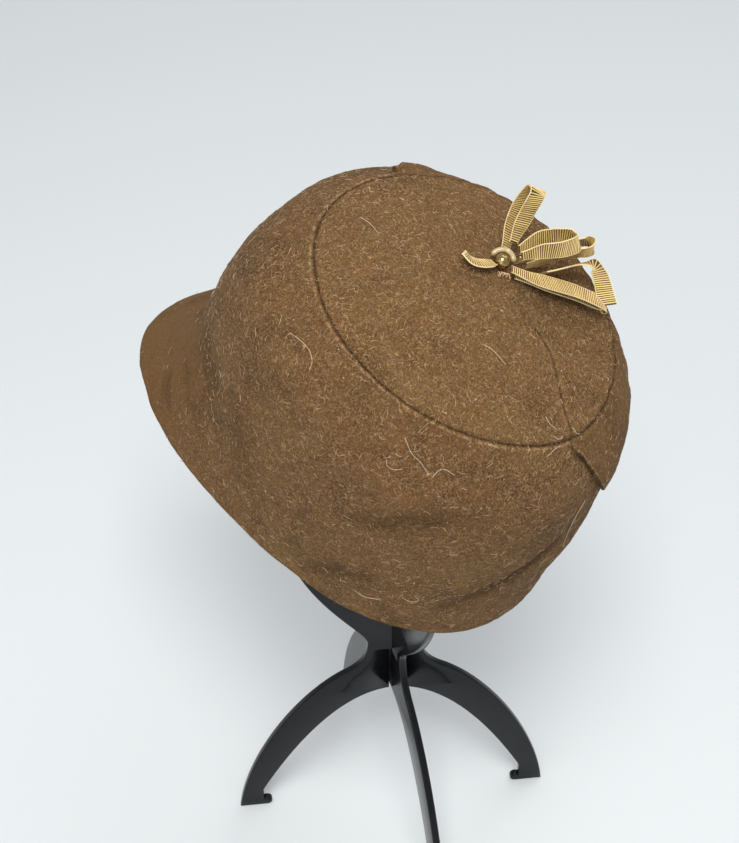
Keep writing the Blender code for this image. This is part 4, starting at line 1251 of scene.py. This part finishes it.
class Finish:
    """A material under construction."""

    def __init__(self, name, **constants):
        self.material = bpy.data.materials.new(name)
        self.material.use_nodes = True
        self.tree = self.material.node_tree
        self.shader = self.tree.nodes["Principled BSDF"]
        self.place = self.put("ShaderNodeTexCoord", {}, {}, "Object")
        for label, value in constants.items():
            self.shader.inputs[label.replace("_", " ")].default_value = value

    def put(self, kind, settings, values, output=0):
        node = self.tree.nodes.new(kind)
        for key, value in settings.items():
            setattr(node, key, value)
        for key, value in values.items():
            self.feed(node.inputs[key], value)
        return Value(self, node.outputs[output])

    def feed(self, socket, value):
        if isinstance(value, Value):
            self.tree.links.new(value.socket, socket)
        elif isinstance(value, tuple) and len(value) == 3 and len(socket.default_value) == 4:
            socket.default_value = (*value, 1.0)
        else:
            socket.default_value = value

    def noise(self, size, detail=2.0, rough=0.5, warp=0.0, shift=0.0):
        """Smooth random value, with features of the given size in metres."""
        offset = (shift, shift * 0.7, -shift)
        place = self.put("ShaderNodeVectorMath", {"operation": "ADD"}, {0: self.place, 1: offset})
        return self.put("ShaderNodeTexNoise", {}, {"Vector": place, "Scale": 1 / size, "Detail": detail,
                                                   "Roughness": rough, "Distortion": warp})

    def mark(self, name):
        return self.put("ShaderNodeAttribute", {"attribute_name": name}, {}, "Fac")

    def mix(self, share, a, b):
        settings = {"data_type": "RGBA", "clamp_factor": True}
        return self.put("ShaderNodeMix", settings, {0: share, 6: a, 7: b}, 2)

    def bump(self, height, distance, strength):
        normal = self.put("ShaderNodeBump", {},
                          {"Strength": strength, "Distance": distance, "Height": height})
        self.tree.links.new(normal.socket, self.shader.inputs["Normal"])

    def set(self, label, value):
        self.feed(self.shader.inputs[label], value)


def felt_finish(name, dark, middle, light, worn):
    """Matted fur felt: short curling fibres over a brown ground, worn smoother where the felt is rubbed."""
    felt = Finish(name, Roughness=0.95, Sheen_Weight=0.06, Sheen_Roughness=0.5,
                  Sheen_Tint=(0.8, 0.58, 0.36, 1))
    felt.set("Specular IOR Level", 0.08)
    rub, seam, edge, painted_crease_shade = felt.mark("rub"), felt.mark("seam"), felt.mark("edge"), felt.mark("painted_crease_shade")
    wide = felt.noise(30 * MM, 3.0, 0.55)
    cloud = felt.noise(24 * MM, 4.0, 0.6, 0.6, 11.3)
    patch = felt.noise(13 * MM, 3.0, 0.6, 0.4, 3.1)
    mat = felt.noise(0.95 * MM, 3.0, 0.7, 0.8, 5.7)
    strands = None
    for size, width, shift in ((1.25 * MM, 0.060, 0.31), (0.95 * MM, 0.070, 0.77), (1.9 * MM, 0.045, 1.43),
                               (2.8 * MM, 0.024, 2.11)):
        line = felt.noise(size, 1.0, 0.5, 1.2, shift).near(0.5, width)
        cut = felt.noise(size * 0.8, 0.0, 0.5, 0.0, shift + 2).over(0.46, 0.58)
        part = line * cut
        strands = part if strands is None else strands.most(part)
    strands = strands * (1 - rub * 0.80)
    blotch = felt.noise(5 * MM, 4.0, 0.65, 0.5, 9.1)
    ground = felt.mix(mat.over(0.30, 0.66), dark, middle)
    ground = felt.mix(patch.over(0.48, 0.72) * 0.55, ground, REDDISH)
    ground = felt.mix(wide.over(0.46, 0.66) * 0.36, ground, OLIVE)
    ground = felt.mix(rub * 0.70, ground, worn)
    ground = felt.mix((blotch.over(0.52, 0.74) * 0.30).most(cloud.over(0.47, 0.67) * 0.70), ground, dark)
    ground = felt.mix(strands * 0.60, ground, light)
    # Painted shade: the felt is darkened along its creases.
    ground = felt.mix(painted_crease_shade * 0.85, ground, dark)
    broken = felt.noise(2.0 * MM, 4.0, 0.7, 0.0, 7.7).over(0.44, 0.60)
    ground = felt.mix(edge * broken * 0.60, ground, light)
    felt.set("Base Color", felt.mix(seam * (0.95 - broken * 0.35), ground, SEAM_SHADE))
    felt.bump(mat * 0.8 + strands * 1.1 + patch * 0.5, 0.5 * MM, 0.85)
    return felt.material


def fibre_finish(name, low, high):
    fibre = Finish(name, Roughness=0.6, Sheen_Weight=0.1)
    tone = fibre.mark("tone")
    fibre.set("Base Color", fibre.mix(tone**3.4, low, high))
    return fibre.material


def plain_finish(name, colour, rough, **constants):
    """Thread or lint: one colour with a soft unevenness."""
    made = Finish(name, **constants)
    grain = made.noise(0.8 * MM, 2.0)
    made.set("Base Color", made.mix(grain.over(0.3, 0.7), tuple(c * 0.72 for c in colour), colour))
    made.set("Roughness", grain * 0.15 + (rough - 0.07))
    made.bump(grain, 0.05 * MM, 0.4)
    return made.material


def ribbon_finish():
    """Ribbed gold ribbon: pale ribs over a dark olive ground painted as the shade between them, thin pale
    edges.
    """
    cloth = Finish("ribbed_gold", Sheen_Weight=0.10, Sheen_Roughness=0.4)
    rib, pale = cloth.mark("rib"), cloth.mark("pale")
    grain = cloth.noise(0.35 * MM, 3.0, 0.7)
    stain = cloth.noise(6 * MM, 2.0, 0.5, 0.3, 1.9)
    # Painted shade: the ground between the ribs is drawn far darker than the ribs.
    ground = cloth.mix(grain.over(0.3, 0.7), (0.050, 0.024, 0.004), (0.11, 0.060, 0.012))
    ribs = cloth.mix(grain.over(0.25, 0.75), (0.96, 0.62, 0.20), (1.0, 0.79, 0.34))
    colour = cloth.mix(rib, ground, ribs)
    colour = cloth.mix(pale * 0.8, colour, (0.92, 0.74, 0.38))
    cloth.set("Base Color", cloth.mix(stain.over(0.50, 0.75) * 0.45, colour, (0.42, 0.25, 0.070)))
    cloth.set("Roughness", 0.60 - rib * 0.15)
    cloth.bump(grain, 0.06 * MM, 0.5)
    return cloth.material


def gilt_finish():
    gold = Finish("gilt", Metallic=1.0)
    wear = gold.noise(1.1 * MM, 4.0, 0.65, 0.8)
    gold.set("Base Color", gold.mix(wear.over(0.42, 0.75), (0.46, 0.33, 0.14), (0.22, 0.14, 0.05)))
    gold.set("Roughness", 0.13 + wear.over(0.4, 0.8) * 0.22)
    gold.bump(gold.noise(0.5 * MM, 2.0), 0.02 * MM, 0.25)
    return gold.material


def stand_finish():
    """Black moulded plastic with a soft mould texture, faint scuffs and dust."""
    plastic = Finish("stand_black")
    plastic.set("Specular IOR Level", 0.20)
    cloud = plastic.noise(26 * MM, 3.0, 0.6)
    grain = plastic.noise(0.7 * MM, 3.0, 0.6)
    scuff = plastic.noise(3.0 * MM, 5.0, 0.75, 1.4, 4.2).near(0.5, 0.012)
    dust = plastic.noise(1.4 * MM, 4.0, 0.8, 0.0, 2.3).over(0.66, 0.80)
    base = plastic.mix(cloud.over(0.3, 0.7), (0.0025, 0.0025, 0.0030), (0.0055, 0.0056, 0.0065))
    plastic.set("Base Color", plastic.mix((dust * 0.30).most(scuff * 0.10), base, (0.16, 0.16, 0.16)))
    plastic.set("Roughness", 0.12 + cloud * 0.08 + scuff * 0.10 + dust * 0.15)
    plastic.bump(grain + scuff * 0.3, 0.05 * MM, 0.35)
    return plastic.material


# The two copies differ only in tone: the top's lighter colours are painted light falling from above.
felt_side = felt_finish("brown_felt_side", (0.056, 0.025, 0.008), (0.172, 0.081, 0.026), (0.68, 0.42, 0.20),
                        (0.140, 0.071, 0.025))
felt_top_painted_lighter = felt_finish("brown_felt_top_painted_lighter", (0.068, 0.031, 0.009), (0.184, 0.090, 0.029), (0.70, 0.43, 0.19),
                       (0.165, 0.088, 0.032))
fibres = fibre_finish("matted_fibres", (0.085, 0.040, 0.014), (0.84, 0.58, 0.33))
hair = plain_finish("pale_hair", (0.90, 0.75, 0.53), 0.45)
lint = plain_finish("white_lint", (0.90, 0.86, 0.78), 0.8)
gold_cloth = ribbon_finish()
gilt = gilt_finish()
cream = plain_finish("cream_wrap", (0.52, 0.40, 0.20), 0.28, Coat_Weight=0.4)
thread = plain_finish("knot_thread", (0.80, 0.55, 0.32), 0.6)
stand_black = stand_finish()

# Camera
lens = bpy.data.cameras.new("camera")
lens.lens = LENS_MM
lens.sensor_width = SENSOR_MM
camera = bpy.data.objects.new("camera", lens)
camera.location = STAND_TURN @ Vector(CAMERA_FROM_STAND)
camera.rotation_euler = (math.radians(CAMERA_TILT), 0, math.radians(CAMERA_TURN))
bpy.context.scene.collection.objects.link(camera)
bpy.context.scene.camera = camera


def placed(piece, slot_name, *nodes):
    """The piece rides with the object and stands for the nodes; slot_name is not used."""
    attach(piece, "root")
    if nodes:
        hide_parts(*nodes)
    return piece


# Hat
wall = placed(make_felt_wall(), "felt", "side_wall")
panel = placed(make_felt_panel(), "felt", "lapped_panel")
tip = placed(make_felt_tip(), "felt", "tip_panel")

short = fibre_tree("short_fibres", fibres, ((2, (0.0, 0.22, 0.08), (0.5, -0.05, 0.01)),
                                            (2, (0.1, -0.35, 0.10), (0.45, 0.15, 0.03)),
                                            (2, (0.0, 0.10, 0.06), (0.5, 0.20, 0.02))))
FIBRE_THICKNESS = 0.06 * MM
FIBRES = (
    # piece, source, fibres a square metre, length, seed
    ("wall_fibres_fine", wall, 155000, 1.6 * MM, 1),
    ("wall_fibres_long", wall, 120000, 2.6 * MM, 2),
    ("tip_fibres", tip, 520000, 1.6 * MM, 3),
    ("panel_fibres", panel, 260000, 1.6 * MM, 4),
)
for name, source, density, length, seed in FIBRES:
    values = {"Density": density, "Length": length, "Thickness": FIBRE_THICKNESS, "Seed": SEED + seed}
    placed(grown(name, source.data.copy(), short, values, fibres), "felt")
lint_tree = speck_tree("lint_specks", lint)
for name, source, seed in (("wall_lint", wall, 21), ("tip_lint", tip, 22)):
    values = {"Density": 1500.0, "Size": 0.26 * MM, "Seed": SEED + seed}
    placed(grown(name, source.data.copy(), lint_tree, values, lint), "felt")
placed(make_hairs(), "felt")

# Bow
ribs = rib_tree("ribbon_ribs", gold_cloth)
for name, shape in RIBBONS.items():
    strip, bars = make_ribbon("gold_" + name, shape, gold_cloth, ribs)
    placed(strip, "ribbon", name)
    placed(bars, "ribbon")
placed(make_bead(), "gilt", "gilt_bead")
placed(make_collar(), "wrap", "bead_collar")
placed(make_knot(), "wrap")

# Stand
placed(make_plate("stand_plate_a", math.radians(90 - LEG_SPLAY), True), "stand", "rib_plate_a")
placed(make_plate("stand_plate_b", math.radians(90 + LEG_SPLAY), False), "stand", "rib_plate_b")

# Floor, light and background
FLOOR_COLOUR = (0.72, 0.745, 0.745, 1)
FLOOR_REACH = 4
WORLD_COLOUR = (0.93, 0.96, 1.0, 1)
WORLD_STRENGTH = 0.55
LIGHT_TARGET = (0, 0, 0.3)
floor_finish = bpy.data.materials.new("pale_floor")
floor_finish.use_nodes = True
floor_shader = floor_finish.node_tree.nodes["Principled BSDF"]
floor_shader.inputs["Base Color"].default_value = FLOOR_COLOUR
floor_shader.inputs["Roughness"].default_value = 0.8
floor_mesh = bpy.data.meshes.new("floor")
corners = [(x * FLOOR_REACH, y * FLOOR_REACH, 0) for x, y in ((-1, -1), (1, -1), (1, 1), (-1, 1))]
floor_mesh.from_pydata(corners, [], [(0, 1, 2, 3)])
floor_mesh.materials.append(floor_finish)
floor = bpy.data.objects.new("floor", floor_mesh)
bpy.context.scene.collection.objects.link(floor)

world = bpy.data.worlds.new("studio")
world.use_nodes = True
world.node_tree.nodes["Background"].inputs["Color"].default_value = WORLD_COLOUR
world.node_tree.nodes["Background"].inputs["Strength"].default_value = WORLD_STRENGTH
bpy.context.scene.world = world

LIGHTS = (
    # name, place, size, power
    ("key", (0.62, 0.38, 1.75), 0.6, 20.0),
    ("fill", (1.0, 0.1, 0.70), 1.2, 3.4),
    ("back", (-0.9, 0.2, 1.6), 1.2, 6.0),
)
for name, place, size, power in LIGHTS:
    lamp = bpy.data.lights.new(name, "AREA")
    lamp.size = size
    lamp.energy = power
    light = bpy.data.objects.new(name, lamp)
    light.location = place
    light.rotation_euler = (Vector(LIGHT_TARGET) - Vector(place)).to_track_quat("-Z", "Y").to_euler()
    bpy.context.scene.collection.objects.link(light)
bpy.context.scene.view_settings.view_transform = "Standard"
